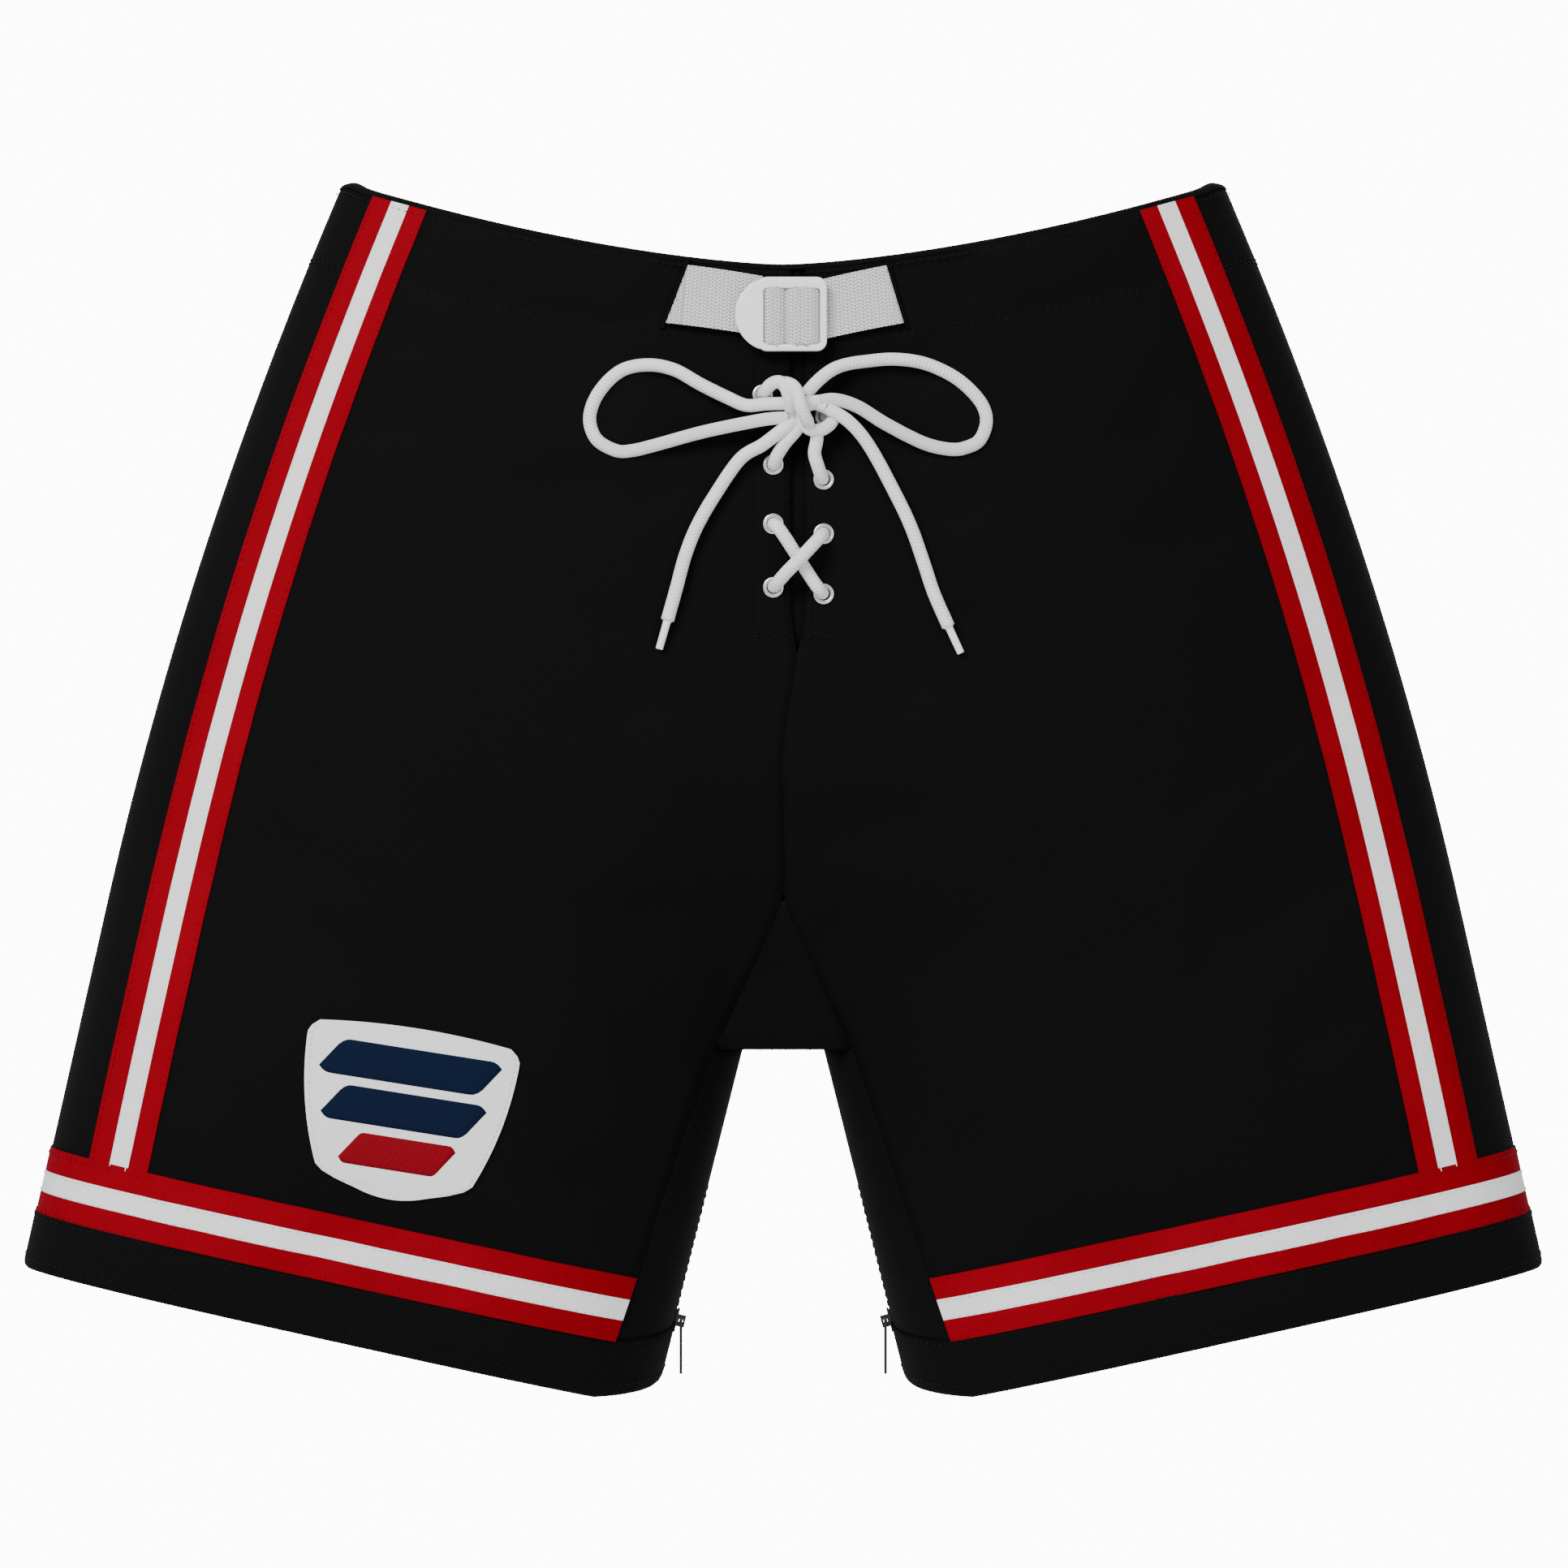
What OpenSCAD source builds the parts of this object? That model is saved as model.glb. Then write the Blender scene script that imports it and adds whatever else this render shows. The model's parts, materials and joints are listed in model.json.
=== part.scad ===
// Ice hockey pants: padded nylon shell, striped sides and hems, lace-up fly and belt.
// Front faces -Y, +Z is up, the wearer's left is +X. The origin is the centre of the waist
// opening, level with the rim at the middle of the front.

/* [Shell outline, front view] */
// Width between the side edges, level with the front rim
waist_w = 474; // [400:1:570]
// How far each side edge moves out for each mm down, at the rim
hip_flare = 0.405; // [0.3:0.005:0.5]
// The same, along the legs
leg_flare = 0.225; // [0.15:0.005:0.3]
// Drop from the rim to where the sides run straight
flare_drop = 310; // [260:1:370]
// How far the rim rises from the front centre to each side
rim_rise = 43; // [20:1:55]
// Drop from the front rim to the underside of the crotch
crotch_drop = 381; // [330:1:450]
// Drop from the front rim to the hem at the inseam
hem_drop = 549; // [530:1:660]
// How far the hem rises from the inseam to the side
hem_rise = 62; // [30:1:75]
// Width of the flat crotch between the legs
crotch_w = 37; // [28:1:50]
// How far each inseam moves out for each mm down
inseam_flare = 0.252; // [0.18:0.002:0.3]

/* [Shell depth, front to back] */
// Depth at the rim
waist_depth = 150; // [130:1:190]
// Depth at the hips
hip_depth = 190; // [170:1:230]
// Depth of each leg under the crotch
thigh_depth = 170; // [150:1:205]
// Depth of each leg at the hem
hem_depth = 156; // [140:1:190]

/* [Fabric and padding] */
// Thickness of the nylon shell
shell_t = 1.6; // [1:0.1:2]
// Thickness of a sewn-on stripe
stripe_t = 0.8; // [0.4:0.1:1]
// Thickness of the foam pads
foam_t = 14; // [8:0.1:17]
// Thickness of the plastic caps on the pads
cap_t = 2.2; // [1.5:0.1:3]
// Thickness of the inner lining
lining_t = 1; // [0.6:0.1:1.5]
// Room between the pads and the lining
lining_gap = 4; // [1:0.5:8]

/* [Stripes] */
// Width of one stripe
stripe_w = 9.9; // [6:0.1:12]
// Black margin outside the side stripes, at the rim
side_margin_top = 21; // [15:0.5:28]
// The same, at the hem
side_margin_hem = 24.5; // [15:0.5:30]
// Height of one hem band
band_h = 10.2; // [6:0.1:13]
// Black strip under the hem bands
hem_strip_h = 26; // [15:0.5:34]

/* [Fly, eyelets and lace] */
// Where the middle of the fly lies, to the wearer's left of centre
fly_x = 7.4; // [0:0.1:12]
// Width of the slit between the eyelet facings
fly_slit_w = 8; // [5:0.5:12]
// Length of the slit
fly_drop = 176; // [170:1:200]
// Bore radius of an eyelet
eyelet_bore_r = 3.2; // [2.6:0.02:3.9]
// Width of an eyelet's rolled rim
eyelet_rim_w = 2; // [1.6:0.1:2.4]

/* [Belt and buckle] */
// Width of the belt webbing
belt_w = 29; // [20:0.2:35]
// Thickness of the webbing
belt_t = 1.6; // [1.2:0.1:2]
// Where the webbing enters the tunnel, from the centre
tunnel_mouth_x = 56; // [50:1:70]
// Length of the buckle's frame along the belt
buckle_l = 34; // [30:0.5:40]
// Reach of its thumb tab
buckle_tab = 10.5; // [9:0.5:18]
// Thickness of the buckle's frame
buckle_t = 5; // [4:0.1:7]

/* [Hip joints and zips] */
// Height of the soft crease between seat and leg
crease_h = 64; // [60:1:80]
// Distance from the soft crease down to the top of each inner-leg zip
zip_margin = 5; // [1:0.5:20]
// Width of the closed zip teeth
teeth_w = 5; // [4:0.1:6]

/* [Hidden] */

LEFT = 1;
RIGHT = -1;
black = [0.03, 0.03, 0.035];
red = [0.64, 0.02, 0.04];
white = [0.88, 0.88, 0.88];
foam_grey = [0.35, 0.36, 0.38];
cap_white = [0.8, 0.82, 0.84];
silver = [0.75, 0.75, 0.77];

clear = 0.3;                     // gap between pieces that lie one on another
body_gap = 1.6;                  // gap beside the soft crease
front_cells = 9;                 // facets across a front panel
back_cells = 14;                 // facets across a back panel, round the side
round_torso = 2.3;               // roundness of the hips' cross-section
round_leg = 2.6;                 // roundness of a leg's cross-section
gusset_top = crotch_drop - 73;   // drop to the points of the crotch gusset
wrap_crotch = 14;                // width of the inner-leg panel seen from the front, at the crotch
wrap_hem = 28.8;                 // the same, at the hem
crease_rise = 181;               // how far the crease rises from the crotch to the side
split_start = crotch_drop - 150; // drop at which the hips begin to part into two legs
split_end = crotch_drop + 14;

// Depths below the outer surface at which the layers lie
shell_d = stripe_t + 0.4;
shell_in = shell_d + shell_t;
pad_gap = 1.6;                   // room for flat pieces under the curved shell
cap_d = shell_in + pad_gap;
foam_d = cap_d + cap_t + 2 * clear;
foam_in = foam_d + foam_t;
lining_depth = foam_in + lining_gap;
facing_t = 0.8;
belt_d = shell_in + clear;
tunnel_d = belt_d + belt_t + 2 * clear;

// ---- The outer surface: t is the drop below the front rim, d the depth under the surface ----

function clamp(v, a, b) = min(max(v, a), b);
function mix(a, b, f) = a + (b - a) * f;
function ease(f) = let (c = clamp(f, 0, 1)) c * c * (3 - 2 * c);

// Half width at drop t: a parabola at the hips, then a straight side
function half_w(t) = let (b = min(t, flare_drop))
  waist_w / 2 + hip_flare * b - (hip_flare - leg_flare) / (2 * flare_drop) * b * b
  + leg_flare * max(0, t - flare_drop);

// Distance from the centre to the inseam at drop t
function inseam(t) = crotch_w / 2 + inseam_flare * (t - crotch_drop);

// Width of the inner-leg panel seen from the front
function wrap(t) = wrap_crotch
  + (wrap_hem - wrap_crotch) * clamp((t - crotch_drop) / (hem_drop - crotch_drop), 0, 1);

// Inner edge of the front and back panels: the centre, the gusset's edge, then the inner-leg seam
function inner_edge(t, d = 0) =
  t < gusset_top ? 0
  : t < crotch_drop ? (t - gusset_top) / (crotch_drop - gusset_top) * (crotch_w / 2 + wrap_crotch + d)
  : inseam(t) + wrap(t) + d;

function torso_half_depth(t) = mix(waist_depth, hip_depth, ease((t + rim_rise) / 290)) / 2;
function leg_half_depth(t) = mix(thigh_depth, hem_depth, clamp((t - crotch_drop) / 168, 0, 1)) / 2;
function superellipse(u, n) = pow(1 - pow(clamp(abs(u), 0, 1), n), 1 / n);

function torso_y(x, t, d) =
  (torso_half_depth(t) - d) * superellipse(x / (half_w(t) - d), round_torso);
function leg_y(x, t, d) =
  let (a = inseam(t) + d, b = half_w(t) - d)
  (leg_half_depth(t) - d) * superellipse((2 * x - a - b) / (b - a), round_leg);
function surface_y(x, t, d) =
  let (s = ease((t - split_start) / (split_end - split_start)), lx = max(x, inseam(t) + wrap(t) + d))
  (1 - s) * torso_y(x, t, d) + s * leg_y(lx, t, d);

// A quarter turn is g = 1: front centre 0, side 1, back centre 2. Below 0 it crosses the centre.
function turn(g) = sin(90 * (g <= 1 ? g : 2 - g));
function shell_point(g, t, d) =
  let (e = inner_edge(t, d), x = e + (half_w(t) - d - e) * turn(g))
  [x, (g <= 1 ? -1 : 1) * surface_y(abs(x), t, d), -t];
function g_of_x(x, t) = let (e = inner_edge(t)) asin((x - e) / (half_w(t) - e)) / 90;
function full_turn(g, t, d) = let (p = shell_point(abs(g), t, d)) [g < 0 ? -p.x : p.x, p.y, p.z];

// The inner-leg surface, from its front seam (k = -1) round the inseam to its back seam (k = 1)
function inner_surface(k, t, d) =
  let (a = inseam(t) + d, b = half_w(t) - d, e = a + wrap(t),
       q = superellipse((2 * e - a - b) / (b - a), round_leg), y = k * surface_y(e, t, d))
  [(a + b) / 2 - (b - a) / 2 * superellipse(k * q, round_leg), y, -t];

// Edges that follow the whole way round
function rim(g) = -rim_rise * pow(abs(turn(g)), 1.5);
function crease(g) = crotch_drop - crease_rise * abs(turn(g));
function leg_top(g) = crease(g) + crease_h;
function hem(g) = hem_drop - hem_rise * abs(turn(g));
function binding_top(g) = hem(g) - hem_strip_h;
function band_top(g, n) = binding_top(g) - n * band_h;

// Side stripes: outer edge of stripe n, counted from the side
function stripe_x(t, n) = half_w(t) - stripe_w * n
  - mix(side_margin_top, side_margin_hem, clamp((t + rim_rise) / (hem_drop - hem_rise), 0, 1));
function seam_turn(t) = g_of_x(stripe_x(t, 1.5), t);

// ---- Building blocks ----

// A closed skin: place(u, v, outer) gives its points, u across and v down, each from 0 to 1
module skin(nu, nv, place, loop = false) {
  nc = loop ? nu : nu + 1;
  nr = nv + 1;
  side = nc * nr;
  pts = [for (k = [0, 1], i = [0 : nc - 1], j = [0 : nv]) place(i / nu, j / nv, k == 0)];
  function at(k, i, j) = k * side + (i % nc) * nr + j;
  across = loop ? nc - 1 : nu - 1;
  outer = [for (i = [0 : across], j = [0 : nv - 1])
    each [[at(0, i, j), at(0, i + 1, j), at(0, i + 1, j + 1)],
          [at(0, i, j), at(0, i + 1, j + 1), at(0, i, j + 1)]]];
  inner = [for (i = [0 : across], j = [0 : nv - 1])
    each [[at(1, i, j), at(1, i + 1, j + 1), at(1, i + 1, j)],
          [at(1, i, j), at(1, i, j + 1), at(1, i + 1, j + 1)]]];
  edges = [for (i = [0 : across])
    each [[at(0, i, 0), at(1, i, 0), at(1, i + 1, 0)], [at(0, i, 0), at(1, i + 1, 0), at(0, i + 1, 0)],
          [at(0, i, nv), at(1, i + 1, nv), at(1, i, nv)],
          [at(0, i, nv), at(0, i + 1, nv), at(1, i + 1, nv)]]];
  ends = loop ? [] : [for (j = [0 : nv - 1])
    each [[at(0, 0, j), at(1, 0, j + 1), at(1, 0, j)], [at(0, 0, j), at(0, 0, j + 1), at(1, 0, j + 1)],
          [at(0, nu, j), at(1, nu, j), at(1, nu, j + 1)],
          [at(0, nu, j), at(1, nu, j + 1), at(0, nu, j + 1)]]];
  polyhedron(points = pts, faces = concat(outer, inner, edges, ends));
}

// The same on the wearer's left, or mirrored to the right
module on_side(s) {
  if (s == LEFT) children();
  else mirror([1, 0, 0]) children();
}

// A layer of the shell between turns g0(t) and g1(t) and drops t0(g) and t1(g), d0 to d1 deep
module layer(nu, nv, g0, g1, t0, t1, d0, d1) {
  skin(nu, nv, function(u, v, outer)
    let (near = mix(g0(150), g1(150), u), guess = mix(t0(near), t1(near), v),
         g = mix(g0(guess), g1(guess), u), t = mix(t0(g), t1(g), v))
    shell_point(mix(g0(t), g1(t), u), t, outer ? d0 : d1));
}

function at_value(v) = function(x) v;

// A flat pad with domed edges, g0 to g1 round and t0 to t1 down; n cells each way
module pad(g0, g1, t0, t1, d0, d1, n = 6) {
  layer(n, n, at_value(g0), at_value(g1), at_value(t0), at_value(t1), d0, d1);
}

// A round cord swept along a route of points
module cord(route, d, sides = 8) {
  n = len(route);
  r = d / 2;
  function dir(i) = let (v = route[min(i + 1, n - 1)] - route[max(i - 1, 0)]) v / norm(v);
  function unit(v) = v / norm(v);
  rings = [for (i = [0 : n - 1])
    let (w = dir(i), a = unit(cross(w, [0, 1, 0.13])), b = cross(w, a))
    for (k = [0 : sides - 1]) route[i] + r * (cos(360 * k / sides) * a + sin(360 * k / sides) * b)];
  walls = [for (i = [0 : n - 2], k = [0 : sides - 1])
    let (a = i * sides + k, b = i * sides + (k + 1) % sides)
    each [[a, b + sides, b], [a, a + sides, b + sides]]];
  caps = [[for (k = [0 : sides - 1]) k], [for (k = [sides - 1 : -1 : 0]) (n - 1) * sides + k]];
  polyhedron(points = rings, faces = concat(walls, caps));
}

// ---- Seat: shell panels and stripes ----

function fly_edge(s, t) =
  let (gap = s * fly_x + fly_slit_w / 2, f = ease((t - fly_drop) / 60))
  t >= gusset_top ? 0 : g_of_x(gap * (1 - f), t);

eyelet_step = 8.2;   // from the slit's edge to the middle of an eyelet
// How far each eyelet lies outside its row, and its drop, from the top
eyelets_left = [[0.8, 73.2], [0, 103.6], [0, 130], [0, 159.2]];
eyelets_right = [[5.2, 62.4], [0, 96.4], [0, 125.2], [0, 156]];

// Places children at each eyelet of one side, with +Z out of the front at depth d
module at_eyelets(s, d) {
  for (eyelet = s == LEFT ? eyelets_left : eyelets_right) {
    t = eyelet[1];
    x = fly_x + s * (fly_slit_w / 2 + eyelet_step + eyelet[0]);
    lean = atan((surface_y(abs(x), t + 5, d) - surface_y(abs(x), t - 5, d)) / 10);
    translate([x, -surface_y(abs(x), t, d), -t]) rotate([90 - lean, 0, 0]) children();
  }
}

eyelet_rim_r = eyelet_bore_r + eyelet_rim_w;
barrel_r = eyelet_bore_r + 0.6;
lace_d = 2 * eyelet_bore_r;   // the lace fills the eyelets

module eyelet_holes(s) {
  at_eyelets(s, shell_d + 4) cylinder(r = barrel_r + 0.1, h = 12, $fn = 48);
}

module front_panel(s) {
  color(black) difference() {
    on_side(s) layer(front_cells, 14, function(t) fly_edge(s, t), function(t) seam_turn(t),
      function(g) rim(g), function(g) crease(g), shell_d, shell_in);
    eyelet_holes(s);
  }
}

module back_panel(s) {
  color(black) on_side(s) layer(back_cells, 12, function(t) seam_turn(t), at_value(2),
    function(g) rim(g), function(g) crease(g), shell_d, shell_in);
}

// One side stripe, n = 0 outside to 2 inside, between two drops
module side_stripe(n, t0, t1, cells) {
  layer(1, cells, function(t) g_of_x(stripe_x(t, n + 1), t), function(t) g_of_x(stripe_x(t, n), t),
    t0, t1, 0, stripe_t);
}

module hip_stripes(which) {
  for (s = [LEFT, RIGHT], n = which)
    on_side(s) side_stripe(n, function(g) rim(g) + 1, function(g) crease(g), 12);
}

module hip_stripes_red() { color(red) hip_stripes([0, 2]); }
module hip_stripes_white() { color(white) hip_stripes([1]); }

module fly_tongue() {
  half = fly_slit_w / 2 + 16;
  color(black) skin(4, 8, function(u, v, outer)
    let (x = fly_x + mix(-half, half, u), t = mix(6, fly_drop + 8, v),
         d = shell_in + facing_t + 1.2 + (outer ? 0 : 1.2))
    [x, -surface_y(abs(x), t, d), -t]);
}

module fly_facings() {
  color(black) for (s = [LEFT, RIGHT]) difference() {
    on_side(s) skin(2, 8, function(u, v, outer)
      let (x = s * fly_x + fly_slit_w / 2 + mix(0, 20, u), t = mix(46, fly_drop - 1, v),
           d = shell_in + (outer ? 0.05 : facing_t))
      [x, -surface_y(abs(x), t, d), -t]);
    eyelet_holes(s);
  }
}

module crotch_gusset() {
  tip = 0.9;
  front_w = crotch_w / 2 + wrap_crotch;
  color(black) skin(2, 16, function(u, v, outer)
    let (w = mix(-1 - tip, 1 + tip, v), d = outer ? shell_d : shell_in, side = mix(-1, 1, u),
         under = abs(w) <= 1,
         t = under ? crotch_drop - (d - shell_d) : mix(crotch_drop, gusset_top + 4, (abs(w) - 1) / tip),
         flat_k = clamp(w, -1, 1),
         hw = (under ? inner_surface(flat_k, crotch_drop, shell_d).x : inner_edge(t)) - 2 * clear,
         y = surface_y(0, min(t, crotch_drop), d) * flat_k)
    [side * hw, y, -t]);
}

// ---- Belt, tunnel and buckle ----

belt_top = 3;        // drop to the belt's upper edge, under the rim
over_d = -1.2;       // the belt's inner face rides this far outside the surface at the fly
buckle_drop = belt_top + belt_w / 2 + 6;   // the buckle sits a little low on the belt
buckle_right = 21.2; // the buckle's end on the wearer's left
buckle_wall = 3.2;
buckle_h = belt_w + 2 * buckle_wall + 0.6;   // the webbing runs through the window
tunnel_h = belt_w + 7;
bar_r = 1.6;
bar_x = [-4.2, 9.4]; // the two bars that the webbing is wrapped round

mouth_g = g_of_x(tunnel_mouth_x, 20);

// The belt dives through its slot over a short stretch beside the mouth
function belt_depth(g) = mix(over_d - belt_t, belt_d, ease((g - mouth_g) / 0.05));

// Turns along half the belt: close steps at the slot, then long ones round the tunnel
function belt_turns(start) = [
  start, mouth_g - 0.02, mouth_g, mouth_g + 0.025, mouth_g + 0.05,
  for (k = [1 : 16]) mix(mouth_g + 0.05, 2, k / 16)
];

module belt_webbing() {
  right = belt_turns(g_of_x(10, 20));
  left = belt_turns(g_of_x(buckle_right + 1, 20));
  turns = concat([for (g = right) -g], [for (i = [len(left) - 2 : -1 : 0]) left[i]]);
  cells = len(turns) - 1;
  color(white) skin(cells, 1, function(u, v, outer)
    let (g = turns[round(u * cells)], t = rim(g) + belt_top + v * belt_w)
    full_turn(g, t, belt_depth(abs(g)) + (outer ? belt_t : 0)));
}

module belt_tunnel() {
  mouth = g_of_x(tunnel_mouth_x + 8, 20);
  n = 24;
  function wall(g, t, d) = full_turn(g, rim(g) + t, d);
  function around(u) = u < 0.5 ? mix(-mouth, -2, 2 * u) : mix(2, mouth, 2 * u - 1);
  color(black) {
    skin(n, 1, function(u, v, outer)
      wall(around(u), mix(1.2, 1.2 + tunnel_h, v), tunnel_d + (outer ? lining_t : 0)));
    for (edge = [1.2, 0.2 + tunnel_h])
      skin(n, 1, function(u, v, outer)
        wall(around(u), edge + v, outer ? tunnel_d - 0.02 : shell_in + 0.02));
  }
}

// The loose end, doubled back behind the belt on the wearer's right of the buckle
module belt_tail() {
  color(white) skin(4, 2, function(u, v, outer)
    let (x = mix(-40, -12, u), t = belt_top + 1.5 + v * (belt_w - 3))
    [x, -surface_y(abs(x), t, outer ? -0.5 : 0.4), -t]);
}

buckle_y = -surface_y(0, buckle_drop, over_d) - belt_t - 0.6 - buckle_t / 2;

module rounded_plate(l, h, r, t) {
  linear_extrude(height = t, center = true) hull()
    for (x = [-1, 1], z = [-1, 1]) translate([x * (l / 2 - r), z * (h / 2 - r)]) circle(r, $fn = 32);
}

// The buckle lies in the XZ plane: frame, window, two bars and the thumb tab
module buckle() {
  window_l = buckle_l - 2 * buckle_wall;
  window_h = buckle_h - 2 * buckle_wall;
  frame_x = buckle_right - buckle_l / 2;
  color(white) translate([frame_x, buckle_y, -buckle_drop]) rotate([90, 0, 0]) {
    difference() {
      union() {
        rounded_plate(buckle_l, buckle_h, 5, buckle_t);
        linear_extrude(height = buckle_t * 0.6, center = true) intersection() {
          translate([buckle_h / 2 - buckle_l / 2 - buckle_tab, 0]) circle(buckle_h / 2, $fn = 64);
          translate([-buckle_l / 2 - buckle_tab, -buckle_h / 2]) square([buckle_tab + 2, buckle_h]);
        }
      }
      rounded_plate(window_l, window_h, 2, buckle_t + 2);
    }
    for (x = bar_x) translate([x - frame_x, 0, 0]) rotate([90, 0, 0])
      cylinder(r = bar_r, h = window_h + 1, center = true, $fn = 32);
  }
}

// Webbing wrapped round the two bars, inside the window
module buckle_webbing() {
  color(white) for (x = bar_x) translate([x, buckle_y, -buckle_drop]) difference() {
    cylinder(r = bar_r + clear + belt_t, h = buckle_h - 2 * buckle_wall - 1, center = true, $fn = 40);
    cylinder(r = bar_r + 0.05, h = buckle_h, center = true, $fn = 40);
  }
}

// ---- Eyelets and lace ----

module lace_eyelets() {
  color(silver) for (s = [LEFT, RIGHT]) at_eyelets(s, shell_d) rotate_extrude($fn = 48) {
    translate([eyelet_bore_r, -3.4]) square([0.5, 4]);
    intersection() {
      translate([(eyelet_bore_r + eyelet_rim_r) / 2, 0.1])
        circle((eyelet_rim_r - eyelet_bore_r) / 2, $fn = 24);
      translate([0, 0.1]) square([eyelet_rim_r + 1, 3]);
    }
  }
}

module eyelet_washers() {
  color(silver) for (s = [LEFT, RIGHT]) at_eyelets(s, shell_in + facing_t + 0.6) rotate_extrude($fn = 48)
    translate([barrel_r + 0.1, 0]) square([eyelet_rim_r - barrel_r, 0.5]);
}

// Routes, by hand: x, y and z of the lace's centre line, in mm
ROUTE_OVER = [[19.5, -83.5, -130], [19.2, -87.5, -130.3], [17.6, -91.8, -132], [13.5, -96, -136.5],
  [7.4, -98.5, -143], [1.5, -96.5, -149], [-2.6, -92.8, -153.6], [-4.4, -89, -155.6],
  [-4.7, -85, -156]];
ROUTE_UNDER = [[-4.7, -83, -125.2], [-4.4, -87, -125.5], [-2.6, -90.6, -127], [1, -91.8, -132],
  [7.4, -91.8, -142], [13.5, -92.2, -151.5], [17, -92, -156.5], [19, -88.8, -158.8],
  [19.6, -85, -159.2]];
ROUTE_LEFT_STRAND = [[19.5, -80, -103.6], [19, -84.4, -103], [17, -88.2, -100.5],
  [14.5, -89.6, -95], [13.6, -90.4, -90], [14, -91, -84]];
ROUTE_RIGHT_STRAND = [[-4.7, -79.5, -96.4], [-4.3, -84, -96], [-2.4, -87.8, -93.5],
  [1.5, -89.4, -89], [5, -90.5, -84.5], [7, -91, -80]];
ROUTE_LEFT_ARC = [[20.3, -77.5, -73.2], [20.1, -82, -73.8], [18.8, -86.5, -76], [16, -89, -79],
  [12.5, -90.5, -80], [10, -91, -77]];
ROUTE_RIGHT_ARC = [[-9.8, -76.5, -62.4], [-9.6, -81, -61.8], [-7.6, -85.5, -59.5], [-3, -88, -57],
  [2, -89.5, -58.5], [6, -91, -63]];
ROUTE_LOOP_RIGHT = [[3, -90, -67], [-8, -89, -67.2], [-18, -87, -67.8], [-28, -84.5, -63.5],
  [-40, -82.5, -57.5], [-53, -81, -50.3], [-66, -80.5, -48], [-79, -80, -51], [-89.5, -80, -61.5],
  [-93.8, -81, -73.5], [-90.5, -82.5, -84], [-81, -83.5, -89.6], [-73, -84, -89.6],
  [-62, -84.5, -87], [-40, -87, -81], [-18, -89.5, -76.4], [-6, -90, -74.4], [3, -90.5, -74]];
ROUTE_LOOP_LEFT = [[10.8, -87.4, -62.6], [16.4, -88, -56.4], [23, -86.5, -51], [30, -83.5, -48],
  [40, -81.5, -46.3], [54, -80.5, -45.2], [69, -80, -47.4], [84, -80, -54.5], [95, -80, -65],
  [98.6, -80.5, -74.5], [95.6, -82, -84], [89, -83, -88], [81, -83.5, -89], [68, -84, -86],
  [50, -86, -77], [36, -88, -68.5], [25, -89.4, -65.2], [15.5, -90.5, -66.4]];
ROUTE_TAIL_RIGHT = [[6, -90.5, -75], [-2, -91, -81], [-10, -89, -87], [-21, -87, -94],
  [-33.5, -88, -112], [-42, -89.5, -127], [-47.5, -90.5, -141], [-51.8, -92, -157],
  [-56, -93, -172]];
ROUTE_TAIL_LEFT = [[21, -90, -69], [32, -89, -76], [42, -86.5, -88], [54.5, -87, -111],
  [62, -88.5, -127], [68, -90, -144], [73, -91, -159], [80, -92, -175]];
TIP_RIGHT = [-60, -94, -186];
TIP_LEFT = [86, -93, -188];

module lace_crossing() {
  color(white) for (r = [ROUTE_OVER, ROUTE_UNDER]) cord(r, lace_d);
}

module lace_strands() {
  color(white)
    for (r = [ROUTE_LEFT_STRAND, ROUTE_RIGHT_STRAND, ROUTE_LEFT_ARC, ROUTE_RIGHT_ARC]) cord(r, lace_d);
}

module lace_knot() {
  color(white) translate([9, -91, -69]) rotate([0, 15, 0])
    rotate_extrude($fn = 32) intersection() {
      translate([3, 0]) circle(6.5, $fn = 40);
      translate([0, -9]) square([10, 18]);
    }
}

module lace_loop_left() { color(white) cord(ROUTE_LOOP_LEFT, lace_d); }
module lace_loop_right() { color(white) cord(ROUTE_LOOP_RIGHT, lace_d); }
module lace_tail_left() { color(white) cord(ROUTE_TAIL_LEFT, lace_d); }
module lace_tail_right() { color(white) cord(ROUTE_TAIL_RIGHT, lace_d); }

// Stiff tips from the end of each tail, laid along a line
module lace_tip(from, to) {
  v = to - from;
  translate(from) rotate([0, acos(v.z / norm(v)), atan2(v.y, v.x)])
    cylinder(r = 1.9, h = norm(v), $fn = 24);
}

module lace_tips() {
  color(white) {
    lace_tip(ROUTE_TAIL_LEFT[7], TIP_LEFT);
    lace_tip(ROUTE_TAIL_RIGHT[8], TIP_RIGHT);
  }
}

// ---- Padding and lining of the seat ----

pad_top = tunnel_h + 8;

module hip_pad(s) { color(foam_grey) on_side(s) pad(0.62, 1.36, pad_top, 186, foam_d, foam_in, 10); }
module hip_cap(s) { color(cap_white) on_side(s) pad(0.72, 1.26, pad_top + 18, 168, cap_d, cap_d + cap_t, 10); }
module kidney_pad(s) { color(foam_grey) on_side(s) pad(1.45, 1.8, pad_top, 172, foam_d, foam_in, 5); }

// A pad over the middle of the back, half as wide as half_l, between two drops
module back_pad(half_l, t0, t1, d0, d1) {
  skin(6, 8, function(u, v, outer)
    let (x = mix(half_l, -half_l, u) * (1 - 0.3 * v), t = mix(t0, t1, v))
    [x, surface_y(abs(x), t, outer ? d0 : d1), -t]);
}

module spine_pad() { color(foam_grey) back_pad(46, pad_top + 4, 246, foam_d, foam_in); }
module spine_cap() { color(cap_white) back_pad(34, pad_top + 18, 226, cap_d, cap_d + cap_t); }

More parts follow.
